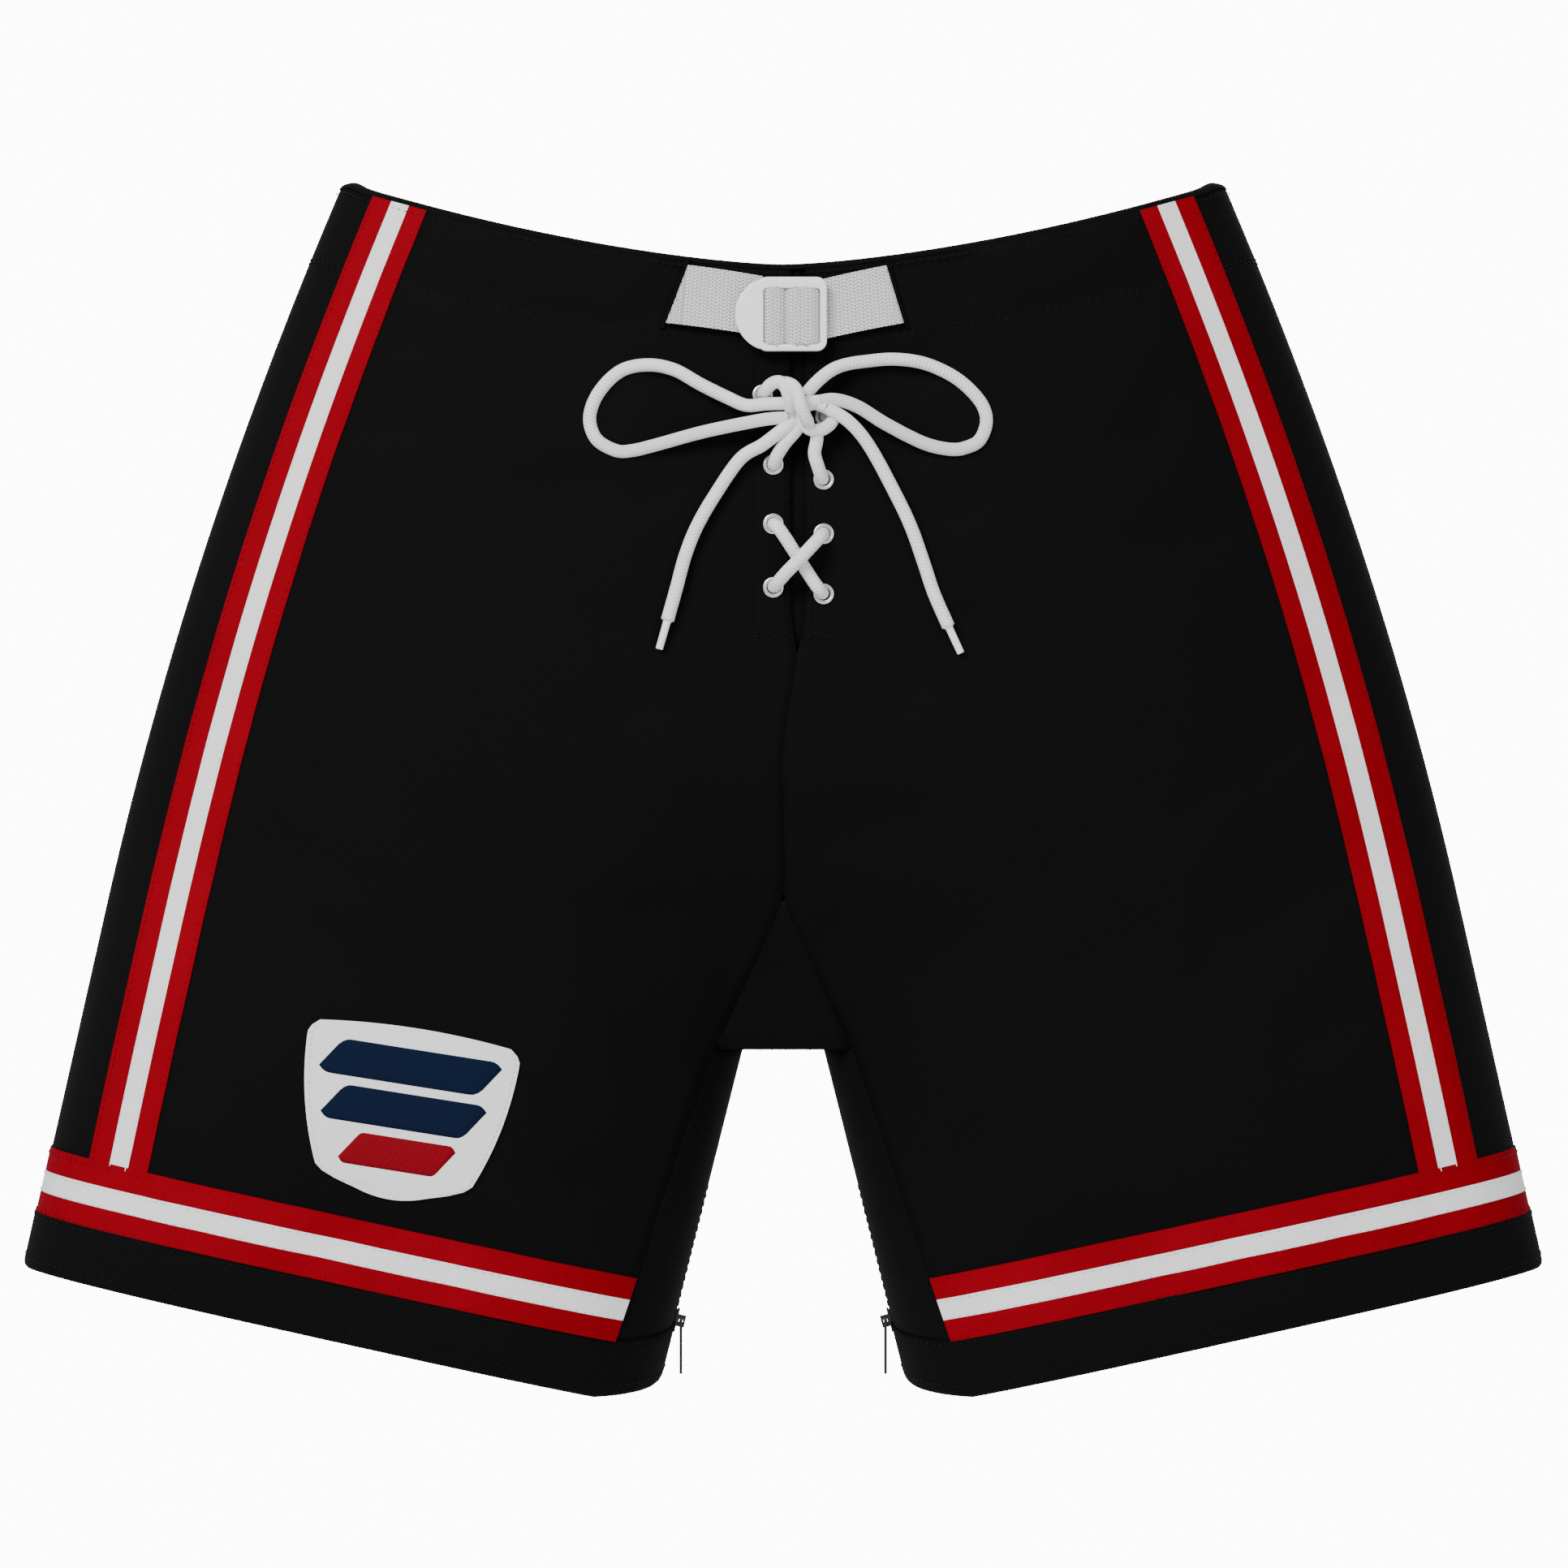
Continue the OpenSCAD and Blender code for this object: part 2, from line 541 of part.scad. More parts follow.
module seat_lining() {
  color(black) skin(28, 4, function(u, v, outer)
    let (g = mix(-2, 2, u), end = min(crease(g) - 8, gusset_top - 12),
         t = mix(rim(g) + tunnel_h + 4, end, v))
    full_turn(g, t, lining_depth + (outer ? 0 : lining_t)), loop = true);
}

// ---- Legs ----

module leg_front(s) {
  color(black) on_side(s) layer(front_cells, 8, at_value(0), function(t) seam_turn(t),
    function(g) leg_top(g), function(g) binding_top(g), shell_d, shell_in);
}

module leg_back(s) {
  color(black) on_side(s) layer(back_cells, 8, function(t) seam_turn(t), at_value(2),
    function(g) leg_top(g), function(g) binding_top(g), shell_d, shell_in);
}

zip_half = 0.12;   // half of the slot for the zip, as a share of the inner-leg panel
inner_top = crotch_drop + crease_h;
zip_top = inner_top + zip_margin;
zip_len = hem_drop - hem_strip_h - zip_top;

// Front and back halves of the inner-leg panel, with a slot between them where the zip runs
module inner_leg(s) {
  bottom = hem_drop - hem_strip_h;
  color(black) on_side(s) for (ends = [[-1, -zip_half], [zip_half, 1]])
    skin(4, 6, function(u, v, outer)
      let (t = mix(inner_top, bottom, v))
      inner_surface(mix(ends[1], ends[0], u), t, outer ? shell_d : shell_in));
}

// The soft fabric between seat and leg, a ring round the top of the leg, with its stripes
module groin_crease(s) {
  on_side(s) {
    color(black) skin(30, 3, function(u, v, outer)
      let (wall = u < 0.8, g = u / 0.8 * 2, k = 1 - (u - 0.8) / 0.2 * 2,
           t0 = wall ? crease(g) : crotch_drop, t1 = wall ? leg_top(g) : inner_top,
           t = mix(t0 + body_gap, t1 - body_gap / 4, v), d = outer ? shell_d : shell_in)
      wall ? shell_point(g, t, d) : inner_surface(k, t, d), loop = true);
    for (n = [0 : 2]) color(n == 1 ? white : red)
      side_stripe(n, function(g) crease(g) + body_gap, function(g) leg_top(g) - body_gap / 4, 2);
  }
}

// A stripe that follows the hem right round, from the front inner-leg seam to the back one
module hem_band(n) {
  top = function(g) band_top(g, 3 - n) + 0.1;
  bottom = function(g) band_top(g, 2 - n) - 0.1;
  layer(front_cells, 1, at_value(0), function(t) seam_turn(t), top, bottom, 0, stripe_t);
  layer(back_cells, 1, function(t) seam_turn(t), at_value(2), top, bottom, 0, stripe_t);
}

module leg_stripes(s, sides, bands) {
  on_side(s) {
    for (n = sides) side_stripe(n, function(g) leg_top(g), function(g) band_top(g, 3), 6);
    for (n = bands) hem_band(n);
  }
}

module leg_stripes_red(s) { color(red) leg_stripes(s, [0, 2], [0, 2]); }
module leg_stripes_white(s) { color(white) leg_stripes(s, [1], [1]); }

module hem_binding(s) {
  color(black) on_side(s) skin(28, 2, function(u, v, outer)
    let (wall = u < 0.8, g = u / 0.8 * 2, k = 1 - (u - 0.8) / 0.2 * 2,
         end = wall ? hem(g) : hem_drop,
         t = mix(end - hem_strip_h + 0.1, end, v), d = outer ? shell_d : shell_in)
    wall ? shell_point(g, t, d) : inner_surface(k, t, d), loop = true);
}

module thigh_pad(s) {
  color(foam_grey) on_side(s) layer(8, 6, at_value(0.03), at_value(0.82), function(g) leg_top(g) + 6,
    function(g) binding_top(g) - 6, foam_d, foam_in);
}

module thigh_cap(s) {
  color(cap_white) on_side(s) layer(6, 6, at_value(0.16), at_value(0.72), function(g) leg_top(g) + 16,
    function(g) binding_top(g) - 20, cap_d, cap_d + cap_t);
}

module leg_lining(s) {
  color(black) on_side(s) skin(28, 3, function(u, v, outer)
    let (wall = u < 0.8, g = u / 0.8 * 2, k = 1 - (u - 0.8) / 0.2 * 2,
         t0 = wall ? leg_top(g) : inner_top, t1 = wall ? hem(g) : hem_drop,
         t = mix(t0 + 2, t1 - 6, v), d = lining_depth + (outer ? 0 : lining_t))
    wall ? shell_point(g, t, d) : inner_surface(k, t, d), loop = true);
}

// A plain shield sewn on the front of the wearer's right leg
patch_w = 100;
patch_h = 82;
patch_x = 184;
patch_drop = 411;

module leg_patch() {
  color(white) on_side(RIGHT) skin(6, 6, function(u, v, outer)
    let (narrow = 1 - 0.35 * v * v, x = patch_x + (u - 0.5) * patch_w * narrow,
         t = patch_drop + (v - 0.5) * patch_h)
    [x, -surface_y(x, t, outer ? shell_d - 1 : shell_d - 0.1), -t]);
}

// ---- Inner-leg zips, in a frame whose +Z runs up the inseam and +X towards the other leg ----

zip_tilt = atan(inseam_flare);
tooth_pitch = 3;
slot_gap = 1.4;       // gap between the two rows of teeth, where the slider's post runs
slider_l = 12;
slider_w = teeth_w + 3;
plate_t = 1.2;
teeth_t = 2;

module zip_frame(s, t) {
  on_side(s) translate([inseam(t) + shell_d, 0, -t]) rotate([0, -zip_tilt, 0]) mirror([1, 0, 0]) children();
}

module zip_chain(s) {
  rows = floor(zip_len / tooth_pitch);
  color(silver) zip_frame(s, zip_top) for (side = [-1, 1]) {
    translate([-1.6, side > 0 ? slot_gap / 2 + 0.6 : -slot_gap / 2 - 5.6, -zip_len]) cube([0.8, 5, zip_len]);
    for (i = [0 : rows - 1])
      translate([-2.2, side > 0 ? slot_gap / 2 : -teeth_w / 2, -(i + 1) * tooth_pitch + 1])
        cube([teeth_t, (teeth_w - slot_gap) / 2, 2]);
  }
}

// Two plates joined by a post, with a bail for the pull
module zip_slider(s) {
  color(silver) zip_frame(s, zip_top) translate([0, 0, -zip_len]) {
    for (x = [clear - 0.1, -2.2 - clear - plate_t])
      translate([x, -slider_w / 2, 0]) cube([plate_t, slider_w, slider_l]);
    translate([-2.2 - clear - 0.5, -0.5, 1]) cube([2.2 + 2 * clear + 1, 1, slider_l - 2]);
    translate([clear + plate_t - 0.2, 0, slider_l / 2]) difference() {
      translate([0, -1.5, -3]) cube([4, 3, 6]);
      translate([1.8, 0, 0]) rotate([90, 0, 0]) cylinder(r = 1.1, h = 8, center = true, $fn = 24);
    }
  }
}

// A pull that hangs straight down from the bail
module zip_pull(s) {
  bail_x = clear + plate_t + 1.6;
  hang = [bail_x, 0, -zip_len + slider_l / 2];
  color(silver) zip_frame(s, zip_top) translate(hang) rotate([0, -zip_tilt, 0]) {
    rotate([90, 0, 0]) cylinder(r = 0.9, h = 7, center = true, $fn = 24);
    for (side = [-1, 1]) translate([-0.7, side * 2.85 - 0.65, -18]) cube([1.4, 1.3, 18.4]);
    translate([-0.7, -3.5, -26]) cube([1.4, 7, 9]);
  }
}

front_panel(LEFT);  // front_panel_left
front_panel(RIGHT);  // front_panel_right
back_panel(LEFT);  // back_panel_left
back_panel(RIGHT);  // back_panel_right
hip_stripes_red();
hip_stripes_white();
belt_tunnel();
fly_tongue();
fly_facings();
lace_eyelets();
eyelet_washers();
belt_webbing();
belt_tail();
buckle();
buckle_webbing();
crotch_gusset();
spine_pad();
spine_cap();
kidney_pad(LEFT);  // kidney_pad_left
kidney_pad(RIGHT);  // kidney_pad_right
hip_pad(LEFT);  // hip_pad_left
hip_pad(RIGHT);  // hip_pad_right
hip_cap(LEFT);  // hip_cap_left
hip_cap(RIGHT);  // hip_cap_right
seat_lining();
lace_crossing();
lace_strands();
lace_knot();
lace_loop_left();
lace_loop_right();
lace_tail_left();
lace_tail_right();
lace_tips();
leg_patch();
leg_front(LEFT);  // leg_front_left
leg_front(RIGHT);  // leg_front_right
leg_back(LEFT);  // leg_back_left
leg_back(RIGHT);  // leg_back_right
inner_leg(LEFT);  // inner_leg_left
inner_leg(RIGHT);  // inner_leg_right
groin_crease(LEFT);  // groin_crease_left
groin_crease(RIGHT);  // groin_crease_right
leg_stripes_red(LEFT);  // leg_stripes_red_left
leg_stripes_red(RIGHT);  // leg_stripes_red_right
leg_stripes_white(LEFT);  // leg_stripes_white_left
leg_stripes_white(RIGHT);  // leg_stripes_white_right
hem_binding(LEFT);  // hem_binding_left
hem_binding(RIGHT);  // hem_binding_right
thigh_pad(LEFT);  // thigh_pad_left
thigh_pad(RIGHT);  // thigh_pad_right
thigh_cap(LEFT);  // thigh_cap_left
thigh_cap(RIGHT);  // thigh_cap_right
leg_lining(LEFT);  // leg_lining_left
leg_lining(RIGHT);  // leg_lining_right
zip_chain(LEFT);  // zip_chain_left
zip_chain(RIGHT);  // zip_chain_right
zip_slider(LEFT);  // zip_slider_left
zip_slider(RIGHT);  // zip_slider_right
zip_pull(LEFT);  // zip_pull_left
zip_pull(RIGHT);  // zip_pull_right
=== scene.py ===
"""Ice hockey pants: padded nylon shell, striped sides and hems, laced fly, belt and zips.

Front faces -Y, +Z is up and the wearer's left is +X. The origin is the centre of the waist
opening, level with the rim at the middle of the front. A drop t is measured down from the
origin, a turn g goes round one side from the front centre (0) past the side (1) to the back
centre (2), and k goes round an inner leg from its front seam (-1) to its back seam (1).
"""

from __future__ import annotations

import json
import logging
import math
from dataclasses import dataclass, replace
from enum import Enum
from typing import Any, Callable, Sequence

import bmesh
import bpy
import numpy as np
from mathutils import Matrix, Vector, noise
from mathutils.bvhtree import BVHTree

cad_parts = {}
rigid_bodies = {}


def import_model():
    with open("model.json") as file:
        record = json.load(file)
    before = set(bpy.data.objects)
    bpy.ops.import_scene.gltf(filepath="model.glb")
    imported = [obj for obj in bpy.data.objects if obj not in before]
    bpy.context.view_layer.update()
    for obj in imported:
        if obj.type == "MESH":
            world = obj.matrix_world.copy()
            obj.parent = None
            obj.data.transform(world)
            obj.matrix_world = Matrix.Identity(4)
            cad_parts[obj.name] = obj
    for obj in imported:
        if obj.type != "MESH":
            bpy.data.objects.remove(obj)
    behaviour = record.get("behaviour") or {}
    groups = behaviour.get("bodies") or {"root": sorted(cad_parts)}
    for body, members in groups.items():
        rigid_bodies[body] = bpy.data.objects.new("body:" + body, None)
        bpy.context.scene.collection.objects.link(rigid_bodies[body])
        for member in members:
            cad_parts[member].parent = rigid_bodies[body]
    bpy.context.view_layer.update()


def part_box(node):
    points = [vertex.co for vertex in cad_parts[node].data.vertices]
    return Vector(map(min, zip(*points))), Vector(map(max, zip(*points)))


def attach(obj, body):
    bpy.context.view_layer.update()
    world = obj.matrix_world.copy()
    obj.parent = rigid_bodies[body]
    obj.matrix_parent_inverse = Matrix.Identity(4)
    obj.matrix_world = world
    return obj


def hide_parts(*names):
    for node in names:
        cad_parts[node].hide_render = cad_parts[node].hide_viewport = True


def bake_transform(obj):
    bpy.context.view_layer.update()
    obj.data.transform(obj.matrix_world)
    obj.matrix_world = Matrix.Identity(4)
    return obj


log = logging.getLogger("hockey_pants")

Point = tuple[float, float, float]
Curve = Callable[[float], float]

SHELL_CLOTH = 0.0012  # thickness of the shell's nylon
LINING_CLOTH = 0.0008  # thickness of the lining's knit
TAPE_CLOTH = 0.0005  # thickness of the folded binding


class Side(Enum):
    """One side of the pants, as the wearer names it."""

    LEFT = 1
    RIGHT = -1

    @property
    def label(self) -> str:
        """Name used in node and piece names."""
        return self.name.lower()

    @property
    def leg(self) -> str:
        """Body that the leg on this side belongs to."""
        return f"{self.label}_leg"


class Zone(Enum):
    """What is sewn over each face of the shell; the value is its material index."""

    BODY = 0
    RED = 1
    WHITE = 2


# ---- Numbers and curves ------------------------------------------------------------------


def mix(a: float, b: float, share: float) -> float:
    """Value the given share of the way from a to b."""
    return a + (b - a) * share


def ease(share: float) -> float:
    """Share from 0 to 1 that starts and ends gently."""
    c = min(max(share, 0.0), 1.0)
    return c * c * (3 - 2 * c)


def along(stops: Sequence[Curve], cells: Sequence[int], index: int, value: float) -> float:
    """Reads a grid line's place between stops.

    Args:
        stops: Curves that the grid lines pass through, one more than cells.
        cells: Number of cells between each two stops.
        index: Number of the grid line.
        value: Where each curve is read.

    Returns:
        The line's place, spaced evenly between the two stops around it.
    """
    for low, high, count in zip(stops, stops[1:], cells):
        if index <= count:
            return mix(low(value), high(value), index / count)
        index -= count
    return stops[-1](value)


def line_of(cells: Sequence[int], stop: int) -> int:
    """Number of the grid line that lies on a stop."""
    return sum(cells[:stop])


def smooth_route(points: Sequence[Point], step: float) -> list[Vector]:
    """Smooth line through given points.

    Args:
        points: Points that the line passes through.
        step: Longest distance between the points returned.

    Returns:
        Points along a Catmull-Rom curve.
    """
    route = [Vector(p) for p in points]
    ends = [route[0] * 2 - route[1], *route, route[-1] * 2 - route[-2]]
    line: list[Vector] = []
    for a, b, c, d in zip(ends, ends[1:], ends[2:], ends[3:]):
        count = max(2, math.ceil((c - b).length / step))
        for i in range(count):
            f = i / count
            line.append(0.5 * (2 * b + (c - a) * f + (2 * a - 5 * b + 4 * c - d) * f**2
                               + (3 * b - a - 3 * c + d) * f**3))
    return [*line, route[-1]]


def route_length(line: Sequence[Vector]) -> float:
    """Length of a line of points."""
    return sum((b - a).length for a, b in zip(line, line[1:]))


# ---- The form that every fabric piece follows --------------------------------------------


@dataclass(frozen=True)
class ShellForm:
    """Outer surface of the pants, and the lines that seams and edges follow."""

    waist_w: float = 0.474
    hip_flare: float = 0.405
    leg_flare: float = 0.225
    flare_drop: float = 0.310
    rim_rise: float = 0.043
    crotch_drop: float = 0.381
    hem_drop: float = 0.549
    hem_rise: float = 0.062
    crotch_w: float = 0.037
    inseam_flare: float = 0.252
    waist_depth: float = 0.150
    hip_depth: float = 0.190
    thigh_depth: float = 0.170
    hem_depth: float = 0.156
    wrap_crotch: float = 0.014
    wrap_hem: float = 0.0288
    crease_rise: float = 0.181
    stripe_w: float = 0.0099
    margin_top: float = 0.021
    margin_hem: float = 0.0245
    band_h: float = 0.0102
    hem_strip_h: float = 0.026
    fly_x: float = 0.0074
    slit_w: float = 0.008
    fly_drop: float = 0.176
    round_torso: float = 2.3
    round_leg: float = 2.6

    @classmethod
    def from_frame(cls) -> ShellForm:
        """Takes the heights that the frame gives from its boxes."""
        binding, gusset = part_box("hem_binding_left"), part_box("crotch_gusset")
        return cls(rim_rise=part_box("back_panel_left")[1].z, hem_drop=-binding[0].z,
                   crotch_drop=-gusset[0].z)

    def inset(self, depth: float, lift: float) -> ShellForm:
        """The same form inside this one.

        Args:
            depth: Distance inwards.
            lift: How much higher its crotch lies.

        Returns:
            The smaller form.
        """
        return replace(
            self, waist_w=self.waist_w - 2 * depth, waist_depth=self.waist_depth - 2 * depth,
            hip_depth=self.hip_depth - 2 * depth, thigh_depth=self.thigh_depth - 2 * depth,
            hem_depth=self.hem_depth - 2 * depth, crotch_drop=self.crotch_drop - lift,
            crotch_w=self.crotch_w + 2 * (depth - self.inseam_flare * lift))

    @property
    def gusset_top(self) -> float:
        """Drop to the points of the crotch gusset."""
        return self.crotch_drop - 0.073

    def half_w(self, t: float) -> float:
        """Half width: a parabola at the hips, then a straight side."""
        b = min(t, self.flare_drop)
        bend = (self.hip_flare - self.leg_flare) / (2 * self.flare_drop)
        return (self.waist_w / 2 + self.hip_flare * b - bend * b * b
                + self.leg_flare * max(0.0, t - self.flare_drop))

    def inseam(self, t: float) -> float:
        """Distance from the centre to the inseam."""
        return self.crotch_w / 2 + self.inseam_flare * (t - self.crotch_drop)

    def wrap(self, t: float) -> float:
        """Width of the inner-leg panel seen from the front."""
        share = (t - self.crotch_drop) / (self.hem_drop - self.crotch_drop)
        return mix(self.wrap_crotch, self.wrap_hem, min(max(share, 0.0), 1.0))

    def inner_edge(self, t: float, d: float = 0.0) -> float:
        """Inner edge of the front and back panels: centre, gusset, then inner-leg seam."""
        if t < self.gusset_top:
            return 0.0
        if t < self.crotch_drop:
            share = (t - self.gusset_top) / (self.crotch_drop - self.gusset_top)
            return share * (self.crotch_w / 2 + self.wrap_crotch + d)
        return self.inseam(t) + self.wrap(t) + d

    def torso_y(self, x: float, t: float, d: float) -> float:
        """Half depth of the hips at x."""
        half = mix(self.waist_depth, self.hip_depth, ease((t + self.rim_rise) / 0.29)) / 2 - d
        u = min(abs(x) / (self.half_w(t) - d), 1.0)
        return half * (1 - u**self.round_torso) ** (1 / self.round_torso)

    def leg_y(self, x: float, t: float, d: float) -> float:
        """Half depth of a leg at x."""
        share = min(max((t - self.crotch_drop) / 0.168, 0.0), 1.0)
        half = mix(self.thigh_depth, self.hem_depth, share) / 2 - d
        a, b = self.inseam(t) + d, self.half_w(t) - d
        u = min(abs((2 * x - a - b) / (b - a)), 1.0)
        return half * (1 - u**self.round_leg) ** (1 / self.round_leg)

    def surface_y(self, x: float, t: float, d: float) -> float:
        """Half depth at x and drop t, d under the outer surface."""
        split = self.crotch_drop - 0.15
        s = ease((t - split) / 0.164)
        leg_x = max(x, self.inseam(t) + self.wrap(t) + d)
        return (1 - s) * self.torso_y(x, t, d) + s * self.leg_y(leg_x, t, d)

    @staticmethod
    def turn(g: float) -> float:
        """Share of the half width reached at a turn."""
        return math.sin(math.pi / 2 * (g if g <= 1 else 2 - g))

    def point(self, g: float, t: float, d: float) -> Point:
        """Point on the wearer's left; a turn below 0 crosses the centre."""
        e = self.inner_edge(t, d)
        x = e + (self.half_w(t) - d - e) * self.turn(g)
        return x, (-1 if g <= 1 else 1) * self.surface_y(abs(x), t, d), -t

    def whole_turn(self, g: float, t: float, d: float) -> Point:
        """Point at a turn from -2 to 2, both sides of the pants."""
        x, y, z = self.point(abs(g), t, d)
        return (-x if g < 0 else x), y, z

    def inner_point(self, k: float, t: float, d: float) -> Point:
        """Point round the inner leg, on the wearer's left."""
        a, b = self.inseam(t) + d, self.half_w(t) - d
        e = a + self.wrap(t)
        u = min(abs((2 * e - a - b) / (b - a)), 1.0)
        q = (1 - u**self.round_leg) ** (1 / self.round_leg)
        v = min(abs(k * q), 1.0)
        x = (a + b) / 2 - (b - a) / 2 * (1 - v**self.round_leg) ** (1 / self.round_leg)
        return x, k * self.surface_y(e, t, d), -t

    def front(self, x: float, t: float, d: float) -> Vector:
        """Point on the front, d under the outer surface."""
        return Vector((x, -self.surface_y(abs(x), t, d), -t))

    def turn_of(self, x: float, t: float) -> float:
        """Turn at which the front reaches x."""
        e = self.inner_edge(t)
        return math.asin(min(max((x - e) / (self.half_w(t) - e), -1.0), 1.0)) / (math.pi / 2)

    def rim(self, g: float) -> float:
        """Drop of the waist rim, which stands up a little beside each side."""
        hump = 0.0013 * math.exp(-(((abs(g) - 0.86) / 0.055) ** 2)) if abs(g) < 1.5 else 0.0
        return -self.rim_rise * abs(self.turn(g)) ** 1.5 - hump

    def crease(self, g: float) -> float:
        """Drop of the crease where a leg bends."""
        return self.crotch_drop - self.crease_rise * abs(self.turn(g))

    def hem(self, g: float) -> float:
        """Drop of the hem, with its corner rounded at the side."""
        corner = 0.002 * math.exp(-(((g - 1) / 0.05) ** 2))
        return self.hem_drop - self.hem_rise * abs(self.turn(g)) - corner

    def inner_hem(self, k: float) -> float:
        """Drop of the hem round the inner leg, with its corner rounded at the inseam."""
        return self.hem_drop - 0.008 * (1 - abs(k)) ** 1.5

    def band_top(self, g: float, n: int) -> float:
        """Top of band n, counted up from the hem strip."""
        straight = self.hem_drop - self.hem_rise * abs(self.turn(g))
        return straight - self.hem_strip_h - n * self.band_h

    def stripe_edge(self, t: float, n: int) -> float:
        """Turn of the outer edge of side stripe n, counted from the side."""
        share = (t + self.rim_rise) / (self.hem_drop - self.hem_rise)
        margin = mix(self.margin_top, self.margin_hem, min(max(share, 0.0), 1.0))
        return self.turn_of(self.half_w(t) - margin - self.stripe_w * n, t)

    def fly_edge(self, side: Side, t: float) -> float:
        """Turn of a front panel's edge beside the slit, which closes under it."""
        if t >= self.gusset_top:
            return 0.0
        seam = side.value * self.fly_x * (1 - ease((t - self.fly_drop) / 0.06))
        gap = self.slit_w / 2 * (1 - ease((t - self.fly_drop + 0.004) / 0.016))
        return self.turn_of(seam + gap - 0.0004, t)

    def bend(self, piece: bpy.types.Object, side: Side, stretch: float = 0.05) -> None:
        """Bakes a piece's place into its mesh.

        Args:
            piece: The piece of fabric.
            side: The leg's side.
            stretch: Not used.
        """
        side.leg
        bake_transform(piece)


# ---- Mesh helpers ------------------------------------------------------------------------


def to_object(bm: bmesh.types.BMesh, name: str, smooth: bool = True) -> bpy.types.Object:
    """Makes an object from a bmesh, with its place in its mesh.

    Args:
        bm: The mesh, which is freed.
        name: Piece name.
        smooth: Whether its faces are shaded smooth.

    Returns:
        The new object.
    """
    mesh = bpy.data.meshes.new(name)
    bm.to_mesh(mesh)
    bm.free()
    mesh.polygons.foreach_set("use_smooth", [smooth] * len(mesh.polygons))
    obj = bpy.data.objects.new(name, mesh)
    bpy.context.scene.collection.objects.link(obj)
    return obj


def cloth_grid(places: np.ndarray, flip: bool = False, tube: bool = False,
               zone: Callable[[int, int], Zone] | None = None,
               straight: bool = False) -> bmesh.types.BMesh:
    """Lays a grid of cloth on the given places, with UVs in metres.

    Args:
        places: Array of columns, rows and coordinates.
        flip: Whether to turn the faces round.
        tube: Whether the first and last columns meet.
        zone: Gives the zone of the face in a column and row.
        straight: Whether the weave's columns stay square to the length, as in webbing.

    Returns:
        The bmesh.
    """
    columns, rows = places.shape[0] - 1, places.shape[1] - 1
    bm = bmesh.new()
    uv = bm.loops.layers.uv.new("UVMap")
    bmesh.ops.create_grid(bm, x_segments=columns, y_segments=rows, size=0.5)
    across = np.zeros((columns + 1, rows + 1))
    down = np.zeros((columns + 1, rows + 1))
    across[1:] = np.cumsum(np.linalg.norm(np.diff(places, axis=0), axis=2), axis=0)
    down[:, 1:] = np.cumsum(np.linalg.norm(np.diff(places, axis=1), axis=2), axis=1)
    if straight:
        across[:] = across.mean(axis=1, keepdims=True)
    spot = {v: (round((v.co.x + 0.5) * columns), round((0.5 - v.co.y) * rows))
            for v in bm.verts}
    for face in bm.faces:
        spots = [spot[loop.vert] for loop in face.loops]
        for loop, (i, j) in zip(face.loops, spots):
            loop[uv].uv = across[i, j], down[i, j]
        if zone:
            face.material_index = zone(min(s[0] for s in spots), min(s[1] for s in spots)).value
    for vert, (i, j) in spot.items():
        vert.co = places[i, j]
    if flip:
        bmesh.ops.reverse_faces(bm, faces=bm.faces)
    if tube:
        bmesh.ops.remove_doubles(bm, verts=bm.verts, dist=1e-6)
    return bm


def fill_places(columns: int, rows: int, place: Callable[[float, float], Point]) -> np.ndarray:
    """Places for a grid from a function of two shares from 0 to 1, across and down."""
    return np.array([[place(i / columns, j / rows) for j in range(rows + 1)]
                     for i in range(columns + 1)], float)


def mirrored(places: np.ndarray, side: Side) -> np.ndarray:
    """Places moved to the given side."""
    return places * np.array([side.value, 1, 1])


def thicken(obj: bpy.types.Object, thickness: float, offset: float = -1.0) -> None:
    """Gives cloth its thickness with a live modifier."""
    solid = obj.modifiers.new("thickness", "SOLIDIFY")
    solid.thickness = thickness
    solid.offset = offset


def round_edges(obj: bpy.types.Object, width: float, segments: int = 2) -> None:
    """Rounds an object's sharp edges with a live modifier."""
    bevel = obj.modifiers.new("edges", "BEVEL")
    bevel.width = width
    bevel.segments = segments
    bevel.limit_method = "ANGLE"
    bevel.angle_limit = math.radians(50)
    bevel.harden_normals = True


def subdivide(obj: bpy.types.Object, levels: int = 1) -> None:
    """Subdivides an object's mesh for good."""
    modifier = obj.modifiers.new("subdivision", "SUBSURF")
    modifier.levels = modifier.render_levels = levels
    modifier.boundary_smooth = "PRESERVE_CORNERS"
    apply_modifiers(obj)


def apply_modifiers(obj: bpy.types.Object) -> None:
    """Applies an object's modifiers to its mesh."""
    graph = bpy.context.evaluated_depsgraph_get()
    mesh = bpy.data.meshes.new_from_object(obj.evaluated_get(graph), depsgraph=graph)
    obj.modifiers.clear()
    obj.data = mesh


